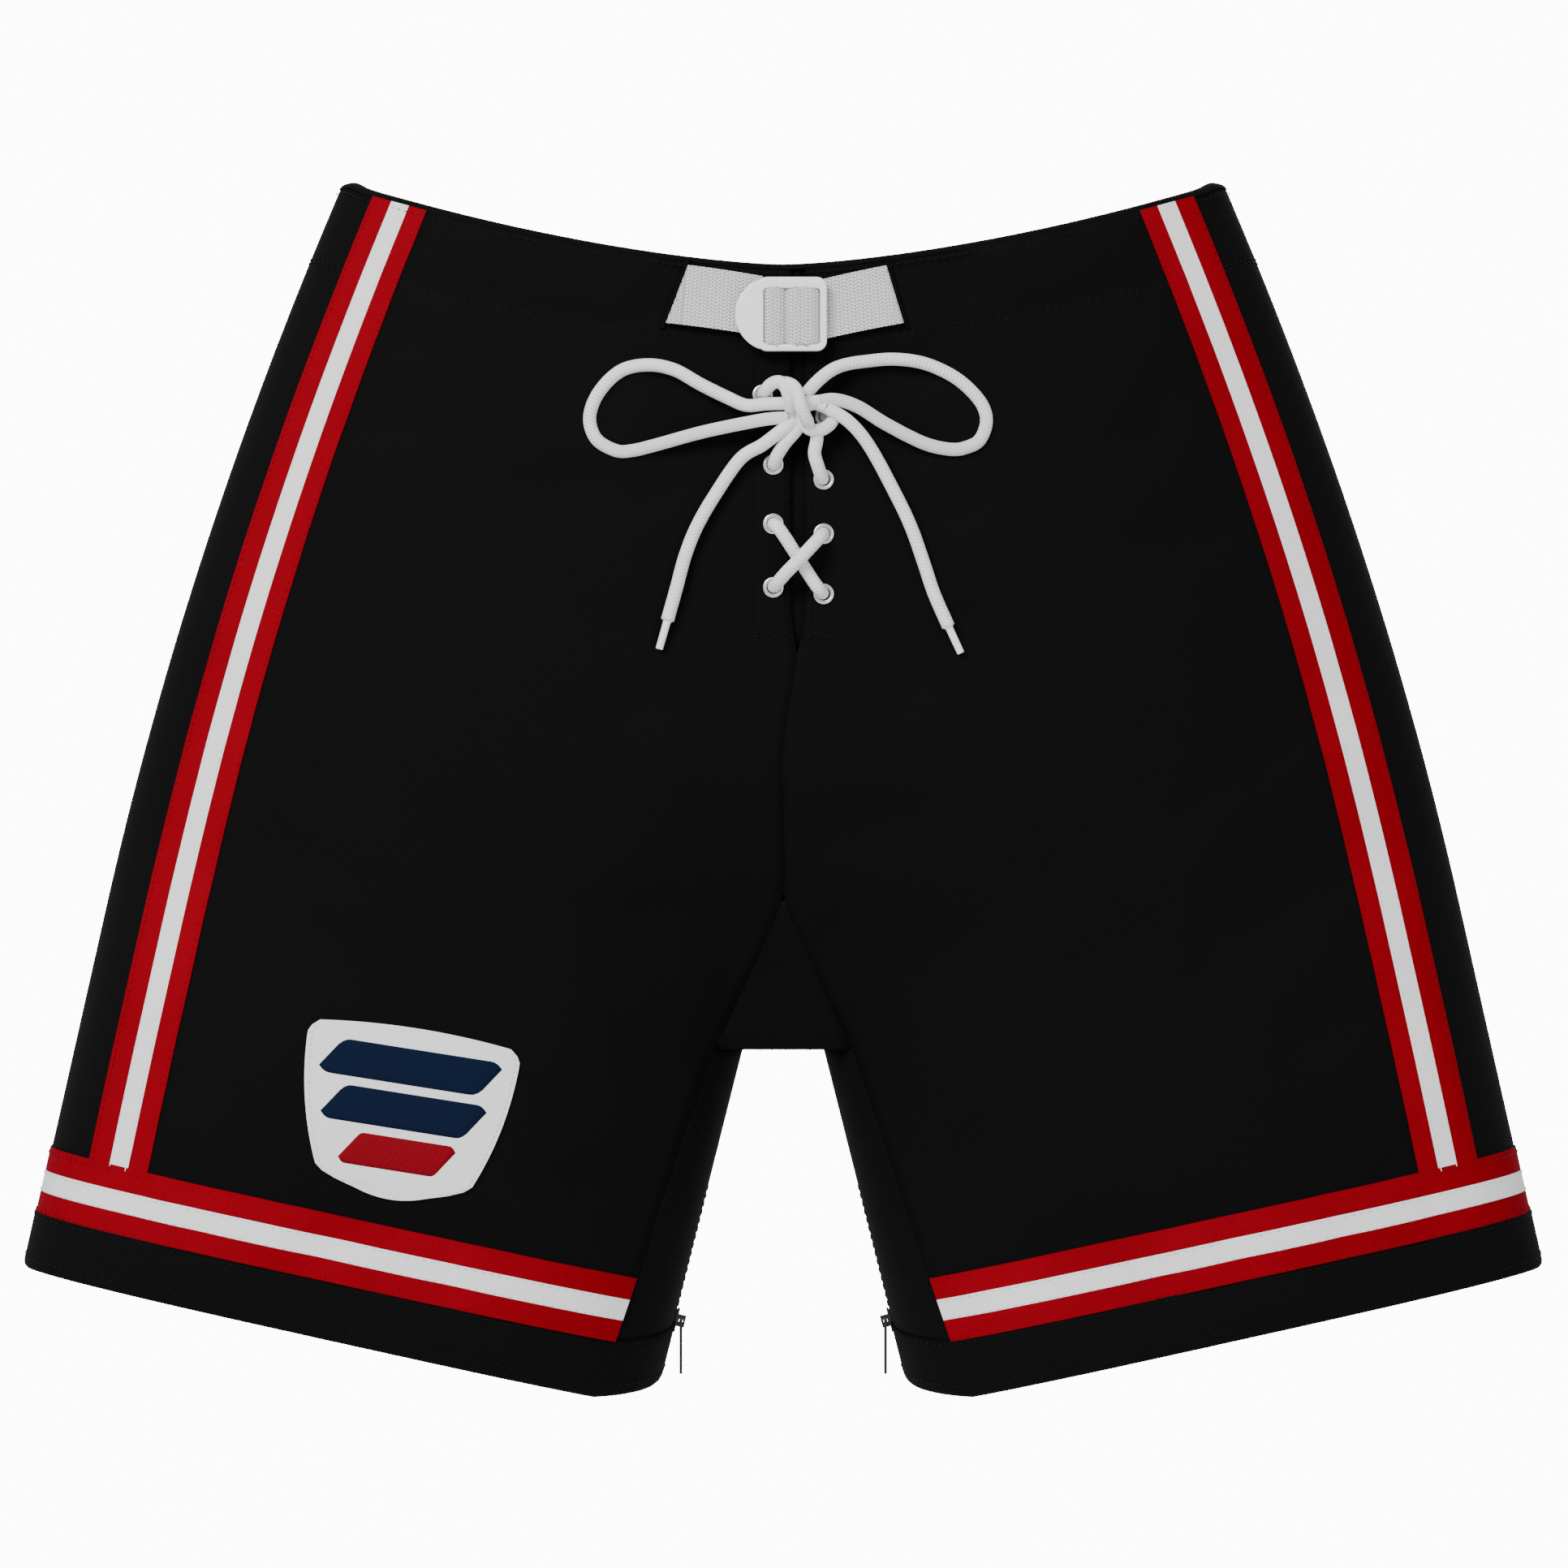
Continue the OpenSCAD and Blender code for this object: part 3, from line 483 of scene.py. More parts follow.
def swept_tube(route: Sequence[Vector], radius: float, sides: int = 12,
               squeeze: float = 1.0) -> bmesh.types.BMesh:
    """Sweeps a round section along a route and closes its ends.

    Args:
        route: Points of the centre line, close together.
        radius: Radius of the section.
        sides: Facets round the section.
        squeeze: Height of the section against its width.

    Returns:
        The bmesh, with UVs in metres: round the cord, then along it.
    """
    ways = [(b - a).normalized() for a, b in zip([route[0], *route], [*route[1:], route[-1]])]
    ways[0] = (route[1] - route[0]).normalized()
    first = ways[0].cross(Vector((0, -1, 0.1))).normalized()
    rings = []
    for centre, way in zip(route, ways):
        first = (first - way * first.dot(way)).normalized()
        second = way.cross(first) * squeeze
        rings.append([centre + radius * (math.cos(a) * first + math.sin(a) * second)
                      for a in (2 * math.pi * i / sides for i in range(sides + 1))])
    bm = cloth_grid(np.array(rings, float).transpose(1, 0, 2), tube=True)
    bmesh.ops.holes_fill(bm, edges=[e for e in bm.edges if e.is_boundary], sides=sides + 1)
    bmesh.ops.recalc_face_normals(bm, faces=bm.faces)
    return bm


def join_into(bm: bmesh.types.BMesh, other: bmesh.types.BMesh) -> None:
    """Adds another bmesh to this one and frees it."""
    mesh = bpy.data.meshes.new("part")
    other.to_mesh(mesh)
    other.free()
    bm.from_mesh(mesh)
    bpy.data.meshes.remove(mesh)


# ---- Finishes ----------------------------------------------------------------------------


class Graph:
    """Places and links the nodes of one shader tree."""

    def __init__(self, tree: bpy.types.NodeTree) -> None:
        """Takes the tree to work in."""
        self.tree = tree

    def add(self, kind: str, links: dict[str | int, Any] | None = None,
            **settings: Any) -> bpy.types.Node:
        """Adds a node.

        Args:
            kind: Node type.
            links: Sockets or values for its inputs, by name or number.
            **settings: Properties of the node.

        Returns:
            The node.
        """
        node = self.tree.nodes.new(kind)
        for key, value in settings.items():
            setattr(node, key, value)
        for key, value in (links or {}).items():
            if isinstance(value, bpy.types.NodeSocket):
                self.tree.links.new(value, node.inputs[key])
            else:
                node.inputs[key].default_value = value
        return node

    def math(self, operation: str, *values: Any) -> bpy.types.NodeSocket:
        """Adds a math node and returns its result."""
        links = {i: v for i, v in enumerate(values)}
        return self.add("ShaderNodeMath", links, operation=operation).outputs[0]

    def wave(self, value: Any) -> bpy.types.NodeSocket:
        """Rounded ridges, one for each whole number."""
        return self.math("ABSOLUTE", self.math("SINE", self.math("MULTIPLY", value, math.pi)))


@dataclass(frozen=True)
class PatternGroup:
    """Node group shared by the finishes, made once."""

    name: str
    inputs: tuple[tuple[str, str, float], ...]
    outputs: tuple[str, ...]
    build: Callable[[Graph, dict[str, Any]], dict[str, Any]]

    def tree(self) -> bpy.types.NodeTree:
        """Returns the group's tree, and makes it at first use."""
        made = bpy.data.node_groups.get(self.name)
        if made:
            return made
        tree = bpy.data.node_groups.new(self.name, "ShaderNodeTree")
        for name, kind, value in self.inputs:
            socket = tree.interface.new_socket(name, in_out="INPUT", socket_type=kind)
            if kind == "NodeSocketFloat":
                socket.default_value = value
        for name in self.outputs:
            tree.interface.new_socket(name, in_out="OUTPUT", socket_type="NodeSocketFloat")
        graph = Graph(tree)
        start = graph.add("NodeGroupInput")
        end = graph.add("NodeGroupOutput")
        for name, socket in self.build(graph, dict(start.outputs.items())).items():
            tree.links.new(socket, end.inputs[name])
        return tree


def build_weave(graph: Graph, given: dict[str, Any]) -> dict[str, Any]:
    """Plain weave: threads that pass over and under each other."""
    scaled = graph.add("ShaderNodeVectorMath", {0: given["Vector"], 3: given["Threads"]},
                       operation="SCALE").outputs[0]
    parts = graph.add("ShaderNodeSeparateXYZ", {0: scaled}).outputs
    checks = graph.add("ShaderNodeTexChecker", {"Vector": scaled, "Scale": 1.0}).outputs["Fac"]
    over, under = graph.wave(parts[0]), graph.wave(parts[1])
    step = graph.math("MULTIPLY", graph.math("SUBTRACT", under, over), checks)
    return {"Height": graph.math("ADD", over, step)}


def build_herringbone(graph: Graph, given: dict[str, Any]) -> dict[str, Any]:
    """Herringbone: slanted picks that turn at each column of the warp."""
    parts = graph.add("ShaderNodeSeparateXYZ", {0: given["Vector"]}).outputs
    across = graph.math("DIVIDE", parts[0], given["Column"])
    down = graph.math("DIVIDE", parts[1], given["Pick"])
    slant = graph.math("PINGPONG", across, 1.0)
    picks = graph.wave(graph.math("ADD", down, graph.math("MULTIPLY", slant, given["Slant"])))
    groove = graph.math("POWER", graph.wave(across), 0.35)
    return {"Height": graph.math("MULTIPLY", picks, groove)}


def build_braid(graph: Graph, given: dict[str, Any]) -> dict[str, Any]:
    """Braid: two sets of strands wound opposite ways round a cord."""
    parts = graph.add("ShaderNodeSeparateXYZ", {0: given["Vector"]}).outputs
    around = graph.math("DIVIDE", parts[0], given["Strand"])
    length = graph.math("DIVIDE", parts[1], given["Pick"])
    one = graph.wave(graph.math("ADD", length, around))
    other = graph.wave(graph.math("SUBTRACT", length, around))
    return {"Height": graph.math("MAXIMUM", one, other)}


def build_tone(graph: Graph, given: dict[str, Any]) -> dict[str, Any]:
    """Soft tone: broad patches, partly random tone and partly painted light and shade of
    wrinkles, fine lint and their sum.
    """
    where = given["Vector"]
    broad = graph.add("ShaderNodeTexNoise", {"Vector": where, "Scale": given["Broad"],
                                             "Detail": 3.0}).outputs["Fac"]
    fine = graph.add("ShaderNodeTexNoise", {"Vector": where, "Scale": given["Fine"],
                                            "Detail": 2.0}).outputs["Fac"]
    both = graph.math("ADD", graph.math("MULTIPLY", broad, 0.6),
                      graph.math("MULTIPLY", fine, 0.4))
    return {"Tone": both, "Lint": fine}


WEAVE = PatternGroup("weave", (("Vector", "NodeSocketVector", 0),
                               ("Threads", "NodeSocketFloat", 1400)), ("Height",), build_weave)
HERRINGBONE = PatternGroup("herringbone", (
    ("Vector", "NodeSocketVector", 0), ("Column", "NodeSocketFloat", 0.0016),
    ("Pick", "NodeSocketFloat", 0.0015), ("Slant", "NodeSocketFloat", 0.8)),
    ("Height",), build_herringbone)
BRAID = PatternGroup("braid", (
    ("Vector", "NodeSocketVector", 0), ("Strand", "NodeSocketFloat", 0.0025),
    ("Pick", "NodeSocketFloat", 0.002)), ("Height",), build_braid)
TONE = PatternGroup("tone", (("Vector", "NodeSocketVector", 0),
                             ("Broad", "NodeSocketFloat", 14),
                             ("Fine", "NodeSocketFloat", 900)), ("Tone", "Lint"), build_tone)


@dataclass(frozen=True)
class Finish:
    """A material: its colour, how even it is, its shine, the relief of its pattern and the
    shade painted into the pattern's grooves.
    """

    name: str
    colour: Point
    roughness: float
    pattern: PatternGroup | None = None
    values: tuple[tuple[str, float], ...] = ()
    relief: float = 0.3
    relief_m: float = 0.0002
    # Share of the colour taken away in the pattern's low grooves: painted shade
    shade: float = 0.15
    # Depth of the broad tonal patches: partly random tone, partly painted light and shade of
    # fabric wrinkles
    variation: float = 0.12
    specular: float = 0.3
    metallic: float = 0.0
    sheen: float = 0.0
    coat: float = 0.0
    on_surface: bool = True
    fine: float = 900.0

    def material(self) -> bpy.types.Material:
        """Returns the material, and makes it at first use."""
        made = bpy.data.materials.get(self.name)
        if made:
            return made
        material = bpy.data.materials.new(self.name)
        material.use_nodes = True
        graph = Graph(material.node_tree)
        shader = material.node_tree.nodes["Principled BSDF"]
        place = graph.add("ShaderNodeTexCoord").outputs
        where = place["UV"] if self.on_surface else place["Object"]
        tone = graph.add("ShaderNodeGroup", node_tree=TONE.tree())
        material.node_tree.links.new(place["Object"], tone.inputs["Vector"])
        tone.inputs["Fine"].default_value = self.fine
        height = tone.outputs["Lint"]
        # Broad tone: partly random, partly painted light and shade of wrinkles
        painted_shade_and_tone = graph.math("MULTIPLY_ADD", tone.outputs["Tone"], 2 * self.variation,
                          1 - self.variation)
        if self.pattern:
            made_of = graph.add("ShaderNodeGroup", {"Vector": where, **dict(self.values)},
                                node_tree=self.pattern.tree())
            height = graph.math("ADD", made_of.outputs["Height"],
                                graph.math("MULTIPLY", height, 0.3))
            # Painted shade: the colour darkens where the pattern's height is low, in the
            # grooves between threads
            painted_shade_and_tone = graph.math("MULTIPLY", painted_shade_and_tone, graph.math(
                "MULTIPLY_ADD", made_of.outputs["Height"], self.shade, 1 - self.shade))
        colour = graph.add("ShaderNodeVectorMath", {0: self.colour, 3: painted_shade_and_tone},
                           operation="SCALE").outputs[0]
        rough = graph.math("MULTIPLY_ADD", tone.outputs["Tone"], 0.16, self.roughness - 0.08)
        bump = graph.add("ShaderNodeBump", {"Strength": self.relief, "Height": height,
                                            "Distance": self.relief_m}).outputs["Normal"]
        for name, socket in (("Base Color", colour), ("Roughness", rough), ("Normal", bump)):
            material.node_tree.links.new(socket, shader.inputs[name])
        shader.inputs["Specular IOR Level"].default_value = self.specular
        shader.inputs["Metallic"].default_value = self.metallic
        shader.inputs["Sheen Weight"].default_value = self.sheen
        shader.inputs["Coat Weight"].default_value = self.coat
        return material

    def dress(self, obj: bpy.types.Object, slot: str) -> None:
        """Gives an object this finish.

        Args:
            obj: The piece.
            slot: Not used.
        """
        obj.data.materials.clear()
        obj.data.materials.append(self.material())


NYLON_BLACK = Finish("woven_nylon_black", (0.0028, 0.0028, 0.003), 0.8, WEAVE,
                     (("Threads", 1500.0),), relief=0.5, relief_m=0.00015, shade=0.45,
                     variation=0.3, specular=0.05)
NYLON_RED = Finish("woven_nylon_red", (0.205, 0.0, 0.006), 0.8, WEAVE, (("Threads", 1500.0),),
                   relief=0.4, relief_m=0.00012, shade=0.16, variation=0.3, specular=0.03)
NYLON_WHITE = Finish("woven_nylon_white", (0.74, 0.74, 0.735), 0.75, WEAVE,
                     (("Threads", 1500.0),),
                     relief=0.4, relief_m=0.00012, shade=0.08, variation=0.13, specular=0.2)
LINING = Finish("lining_knit", (0.008, 0.008, 0.009), 0.9, BRAID,
                (("Strand", 0.0016), ("Pick", 0.0022)), relief=0.6, relief_m=0.0003, shade=0.5,
                variation=0.15, specular=0.05)
TWILL = Finish("twill_white", (0.74, 0.74, 0.74), 0.8, HERRINGBONE,
               (("Column", 0.6), ("Pick", 0.0009), ("Slant", 300.0)), relief=0.4,
               relief_m=0.00015, shade=0.08, variation=0.05)
NAVY = Finish("thread_navy", (0.0005, 0.006, 0.026), 0.7, HERRINGBONE,
              (("Column", 0.003), ("Pick", 0.0006), ("Slant", 0.0)), relief=0.6,
              relief_m=0.0002, shade=0.3, specular=0.08)
EMBROIDERY_RED = Finish("thread_red", (0.205, 0.0, 0.006), 0.7, HERRINGBONE,
                        (("Column", 0.003), ("Pick", 0.0006), ("Slant", 0.0)), relief=0.6,
                        relief_m=0.0002, shade=0.3, specular=0.08)
WEBBING = Finish("herringbone_webbing", (0.90, 0.90, 0.89), 0.68, HERRINGBONE,
                 (("Column", 0.0019), ("Pick", 0.0017), ("Slant", 0.9)), relief=1.0,
                 relief_m=0.0008, shade=0.52, variation=0.05, specular=0.3)
LACE = Finish("lace_braid", (0.82, 0.82, 0.815), 0.7, BRAID,
              (("Strand", 0.00168), ("Pick", 0.0018)), relief=0.9, relief_m=0.0004, shade=0.3,
              variation=0.04, specular=0.25)
TIP_FILM = Finish("lace_tip_film", (0.80, 0.80, 0.80), 0.3, relief=0.15, variation=0.05,
                  specular=0.5, on_surface=False)
MOULDED = Finish("moulded_white", (0.80, 0.80, 0.795), 0.36, relief=0.12, relief_m=0.0001,
                 variation=0.04, specular=0.5, on_surface=False, fine=2400.0)
CAP = Finish("pressed_cap", (0.60, 0.62, 0.64), 0.5, relief=0.3, variation=0.06,
             specular=0.45, on_surface=False)
NICKEL = Finish("nickel", (0.66, 0.66, 0.67), 0.24, relief=0.1, relief_m=0.00005,
                variation=0.12, metallic=1.0, specular=0.5, on_surface=False)
ZIP_METAL = Finish("blackened_zip", (0.045, 0.045, 0.048), 0.38, relief=0.2, relief_m=0.00005,
                   variation=0.15, metallic=1.0, specular=0.5, on_surface=False)
SLEEVE = Finish("foam_sleeve", (0.10, 0.105, 0.11), 0.88, WEAVE, (("Threads", 900.0),),
                relief=0.5, relief_m=0.0002, shade=0.3, on_surface=False)
THREAD_BLACK = Finish("thread_black", (0.004, 0.004, 0.0042), 0.6, relief=0.2, variation=0.2,
                      specular=0.1, on_surface=False)
THREAD_RED = Finish("thread_stripe_red", (0.17, 0.0, 0.005), 0.6, relief=0.2, variation=0.1,
                    specular=0.1, on_surface=False)
THREAD_WHITE = Finish("thread_white", (0.7, 0.7, 0.7), 0.6, relief=0.2, variation=0.08,
                      on_surface=False)


# ---- Studio ------------------------------------------------------------------------------


@dataclass
class Studio:
    """Camera, pale floor and soft light."""

    distance: float = 5.0
    picture_w: float = 0.7728
    centre_x: float = 0.0004
    centre_z: float = -0.2512
    floor_z: float = -0.92
    floor_size: float = 1.5
    surround: float = 0.75
    backdrop: float = 12.0

    def build(self) -> None:
        """Makes the camera, the floor and the lights."""
        self.add_camera()
        self.add_floor()
        self.add_light("key", (-1.5, -2.4, 1.9), 1.5, 150.0)
        self.add_light("fill", (1.9, -2.2, 0.4), 2.0, 22.0)
        self.add_light("back", (0.2, 2.6, 1.2), 2.0, 45.0)
        self.add_world()

    def add_world(self) -> None:
        """Makes an even white surround, bright behind the pants and softer as light."""
        world = bpy.data.worlds.new("studio_white")
        world.use_nodes = True
        tree = world.node_tree
        soft = tree.nodes["Background"]
        soft.inputs["Color"].default_value = 1, 1, 1, 1
        soft.inputs["Strength"].default_value = self.surround
        graph = Graph(tree)
        bright = graph.add("ShaderNodeBackground", {"Color": (1, 1, 1, 1),
                                                    "Strength": self.backdrop})
        seen = graph.add("ShaderNodeLightPath").outputs["Is Camera Ray"]
        both = graph.add("ShaderNodeMixShader", {0: seen, 1: soft.outputs[0],
                                                 2: bright.outputs[0]})
        tree.links.new(both.outputs[0], tree.nodes["World Output"].inputs["Surface"])
        bpy.context.scene.world = world

    def add_camera(self) -> None:
        """Looks level along +Y from far in front."""
        data = bpy.data.cameras.new("camera")
        data.sensor_width = 36.0
        data.lens = data.sensor_width * self.distance / self.picture_w
        camera = bpy.data.objects.new("camera", data)
        camera.location = self.centre_x, -self.distance, self.centre_z
        camera.rotation_euler = math.pi / 2, 0, 0
        bpy.context.scene.collection.objects.link(camera)
        bpy.context.scene.camera = camera

    def add_floor(self) -> None:
        """Lays a plain white floor under the hems."""
        bm = bmesh.new()
        bmesh.ops.create_grid(bm, x_segments=1, y_segments=1, size=self.floor_size)
        bmesh.ops.translate(bm, verts=bm.verts, vec=(0, 0, self.floor_z))
        floor = to_object(bm, "floor")
        material = bpy.data.materials.new("floor_white")
        material.use_nodes = True
        shader = material.node_tree.nodes["Principled BSDF"]
        shader.inputs["Base Color"].default_value = (0.9, 0.9, 0.9, 1)
        shader.inputs["Roughness"].default_value = 0.9
        # Clear from underneath, so the legs can be seen from below
        graph = Graph(material.node_tree)
        under = graph.add("ShaderNodeNewGeometry").outputs["Backfacing"]
        clear = graph.add("ShaderNodeBsdfTransparent")
        both = graph.add("ShaderNodeMixShader", {0: under, 1: shader.outputs[0],
                                                 2: clear.outputs[0]})
        output = material.node_tree.nodes["Material Output"]
        material.node_tree.links.new(both.outputs[0], output.inputs["Surface"])
        floor.data.materials.append(material)

    def add_light(self, name: str, at: Point, size: float, power: float) -> None:
        """Adds a soft area light aimed at the pants.

        Args:
            name: Name of the light.
            at: Its place.
            size: Its width.
            power: Its power in watts.
        """
        data = bpy.data.lights.new(name, "AREA")
        data.size = size
        data.energy = power
        light = bpy.data.objects.new(name, data)
        light.location = at
        aim = Vector((0, 0, self.centre_z)) - Vector(at)
        light.rotation_euler = aim.to_track_quat("-Z", "Y").to_euler()
        bpy.context.scene.collection.objects.link(light)


# ---- Lace --------------------------------------------------------------------------------

# Routes: x, y and z of the lace's centre line, in metres
ROUTE_OVER = [(0.0195, -0.0835, -0.130), (0.0192, -0.0875, -0.1303), (0.0176, -0.0918, -0.132),
              (0.0135, -0.096, -0.1365), (0.0074, -0.0985, -0.143), (0.0015, -0.0965, -0.149),
              (-0.0026, -0.0928, -0.1536), (-0.0044, -0.089, -0.1556),
              (-0.0047, -0.085, -0.156)]
ROUTE_UNDER = [(-0.0047, -0.083, -0.1252), (-0.0044, -0.087, -0.1255),
               (-0.0026, -0.0906, -0.127), (0.001, -0.0918, -0.132),
               (0.0074, -0.0918, -0.142), (0.0135, -0.0922, -0.1515),
               (0.017, -0.092, -0.1565), (0.019, -0.0888, -0.1588),
               (0.0196, -0.085, -0.1592)]
ROUTE_LOOP_RIGHT = [(0.003, -0.090, -0.067), (-0.008, -0.089, -0.0672),
                    (-0.018, -0.087, -0.0678), (-0.028, -0.0845, -0.0635),
                    (-0.040, -0.0825, -0.0575), (-0.053, -0.081, -0.0503),
                    (-0.066, -0.0805, -0.048), (-0.079, -0.080, -0.051),
                    (-0.0895, -0.080, -0.0615), (-0.0938, -0.081, -0.0735),
                    (-0.0905, -0.0825, -0.084), (-0.081, -0.0835, -0.0896),
                    (-0.073, -0.084, -0.0896), (-0.062, -0.0845, -0.087),
                    (-0.040, -0.087, -0.081), (-0.018, -0.0895, -0.0764),
                    (-0.006, -0.090, -0.0744), (0.003, -0.0905, -0.074)]
ROUTE_LOOP_LEFT = [(0.0108, -0.0874, -0.0626), (0.0164, -0.088, -0.0564),
                   (0.023, -0.0865, -0.051), (0.030, -0.0835, -0.048),
                   (0.040, -0.0815, -0.0463), (0.054, -0.0805, -0.0452),
                   (0.069, -0.080, -0.0474), (0.084, -0.080, -0.0545),
                   (0.095, -0.080, -0.065), (0.0986, -0.0805, -0.0745),
                   (0.0956, -0.082, -0.084), (0.089, -0.083, -0.088),
                   (0.081, -0.0835, -0.089), (0.068, -0.084, -0.086),
                   (0.050, -0.086, -0.077), (0.036, -0.088, -0.0685),
                   (0.025, -0.0894, -0.0652), (0.0155, -0.0905, -0.0664)]
ROUTE_TAIL_RIGHT = [(0.006, -0.0905, -0.075), (-0.002, -0.091, -0.081),
                    (-0.010, -0.089, -0.087), (-0.021, -0.087, -0.094),
                    (-0.0335, -0.088, -0.112), (-0.042, -0.0895, -0.127),
                    (-0.0475, -0.0905, -0.141), (-0.0518, -0.092, -0.157),
                    (-0.056, -0.093, -0.172)]
ROUTE_TAIL_LEFT = [(0.021, -0.090, -0.069), (0.032, -0.089, -0.076), (0.042, -0.0865, -0.088),
                   (0.0545, -0.087, -0.111), (0.062, -0.0885, -0.127),
                   (0.068, -0.090, -0.144), (0.073, -0.091, -0.159), (0.080, -0.092, -0.175)]
TIP_RIGHT = (-0.060, -0.094, -0.186)
TIP_LEFT = (0.086, -0.093, -0.188)

# Short stretches drawn tight in the knot
KNOT_TURNS = (
    [(-0.0098, -0.0775, -0.0624), (-0.0096, -0.082, -0.0622), (-0.0084, -0.087, -0.0608),
     (-0.0064, -0.0905, -0.0582), (-0.0028, -0.093, -0.0566), (0.0006, -0.0945, -0.0582),
     (0.0022, -0.0955, -0.062), (0.0032, -0.0955, -0.066), (0.0038, -0.093, -0.070)],
    [(-0.001, -0.089, -0.058), (0.0016, -0.0925, -0.0572), (0.0052, -0.0965, -0.0592),
     (0.0072, -0.0992, -0.063), (0.0084, -0.1002, -0.0682), (0.0102, -0.0988, -0.073),
     (0.0118, -0.0955, -0.0762), (0.0116, -0.0912, -0.0774)],
    [(0.0062, -0.089, -0.0728), (0.0090, -0.0912, -0.0764), (0.0135, -0.0920, -0.0798),
     (0.0188, -0.0908, -0.0796), (0.0232, -0.0882, -0.0764), (0.0234, -0.085, -0.0738),
     (0.0212, -0.0815, -0.0730), (0.0203, -0.0775, -0.0732)],
    [(0.0078, -0.090, -0.0770), (0.0058, -0.0895, -0.0806), (0.001, -0.089, -0.086),
     (-0.0030, -0.0874, -0.0922), (-0.0044, -0.084, -0.0960), (-0.0047, -0.0795, -0.0964)],
    [(0.0165, -0.0905, -0.0795), (0.0162, -0.0893, -0.0850), (0.0152, -0.0890, -0.0912),
     (0.0168, -0.0880, -0.0972), (0.0188, -0.0846, -0.1028), (0.0195, -0.080, -0.1036)],
    [(0.003, -0.0905, -0.0672), (0.008, -0.0920, -0.0668), (0.0125, -0.0912, -0.0666),
     (0.0180, -0.0903, -0.0659)],
    [(0.003, -0.0900, -0.0728), (0.008, -0.0905, -0.0700), (0.0145, -0.0900, -0.0672),
     (0.021, -0.0900, -0.0690)],
)


@dataclass
class Lace:
    """One round braided lace: crossing, knot, two loops, two tails and their tips."""

    radius: float = 0.0032
    step: float = 0.0012
    tip_radius: float = 0.0019

    def build(self) -> None:
        """Makes every stretch of the lace."""
        self.free_cord("lace_tail_wearer_left", ROUTE_TAIL_LEFT, "lace_tail_left", TIP_LEFT)
        self.free_cord("lace_tail_wearer_right", ROUTE_TAIL_RIGHT, "lace_tail_right", TIP_RIGHT)
        self.free_cord("lace_loop_wearer_left", ROUTE_LOOP_LEFT, "lace_loop_left")
        self.free_cord("lace_loop_wearer_right", ROUTE_LOOP_RIGHT, "lace_loop_right")
        self.free_cord("lace_cross_over", ROUTE_OVER, "lace_crossing")
        self.free_cord("lace_cross_under", ROUTE_UNDER, "lace_crossing")
        self.knot()

    def free_cord(self, name: str, route: Sequence[Point], node: str,
                  tip: Point | None = None) -> None:
        """Args:
            name: Piece name.
            route: Its given points.
            node: The CAD node that it stands for.
            tip: Where its stiff tip ends, if it has one.
        """
        line = smooth_route(route, self.step)
        cord = to_object(swept_tube(line, self.radius), name)
        LACE.dress(cord, "lace_white")
        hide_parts(node)
        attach(cord, "seat")
        pieces = [self.tip(f"{name}_tip", line[-1], tip)] if tip else []
        log.info("%s is %.0f mm long", name, route_length(line) * 1000)

    def tip(self, name: str, start: Vector, end: Point) -> bpy.types.Object:
        """Makes the rolled film tip at the end of a tail.

        Args:
            name: Piece name.
            start: Where the braid ends.
            end: Where the tip ends.

        Returns:
            The tip.
        """
        way = (Vector(end) - start).normalized()
        length = (Vector(end) - start).length
        bm = bmesh.new()
        bmesh.ops.create_cone(bm, segments=20, radius1=self.radius, radius2=self.tip_radius,
                              depth=0.002, cap_ends=True)
        film = bmesh.ops.create_cone(bm, segments=20, radius1=self.tip_radius,
                                     radius2=self.tip_radius * 0.94, depth=length,
                                     cap_ends=True)["verts"]
        bmesh.ops.translate(bm, verts=film, vec=(0, 0, length / 2))
        bmesh.ops.rotate(bm, verts=bm.verts, matrix=way.to_track_quat("Z", "Y").to_matrix())
        bmesh.ops.translate(bm, verts=bm.verts, vec=start)
        tip = to_object(bm, name)
        round_edges(tip, 0.0003)
        TIP_FILM.dress(tip, "lace_white")
        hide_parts("lace_tips")
        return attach(tip, "seat")

    def knot(self) -> None:
        """Makes the drawn-tight turns of the bow's knot as one piece."""
        bm = bmesh.new()
        for turns in KNOT_TURNS:
            join_into(bm, swept_tube(smooth_route(turns, self.step), self.radius))
        knot = to_object(bm, "bow_knot")
        LACE.dress(knot, "lace_white")
        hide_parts("lace_knot", "lace_strands")
        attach(knot, "seat")


# ---- Cloth simulation --------------------------------------------------------------------


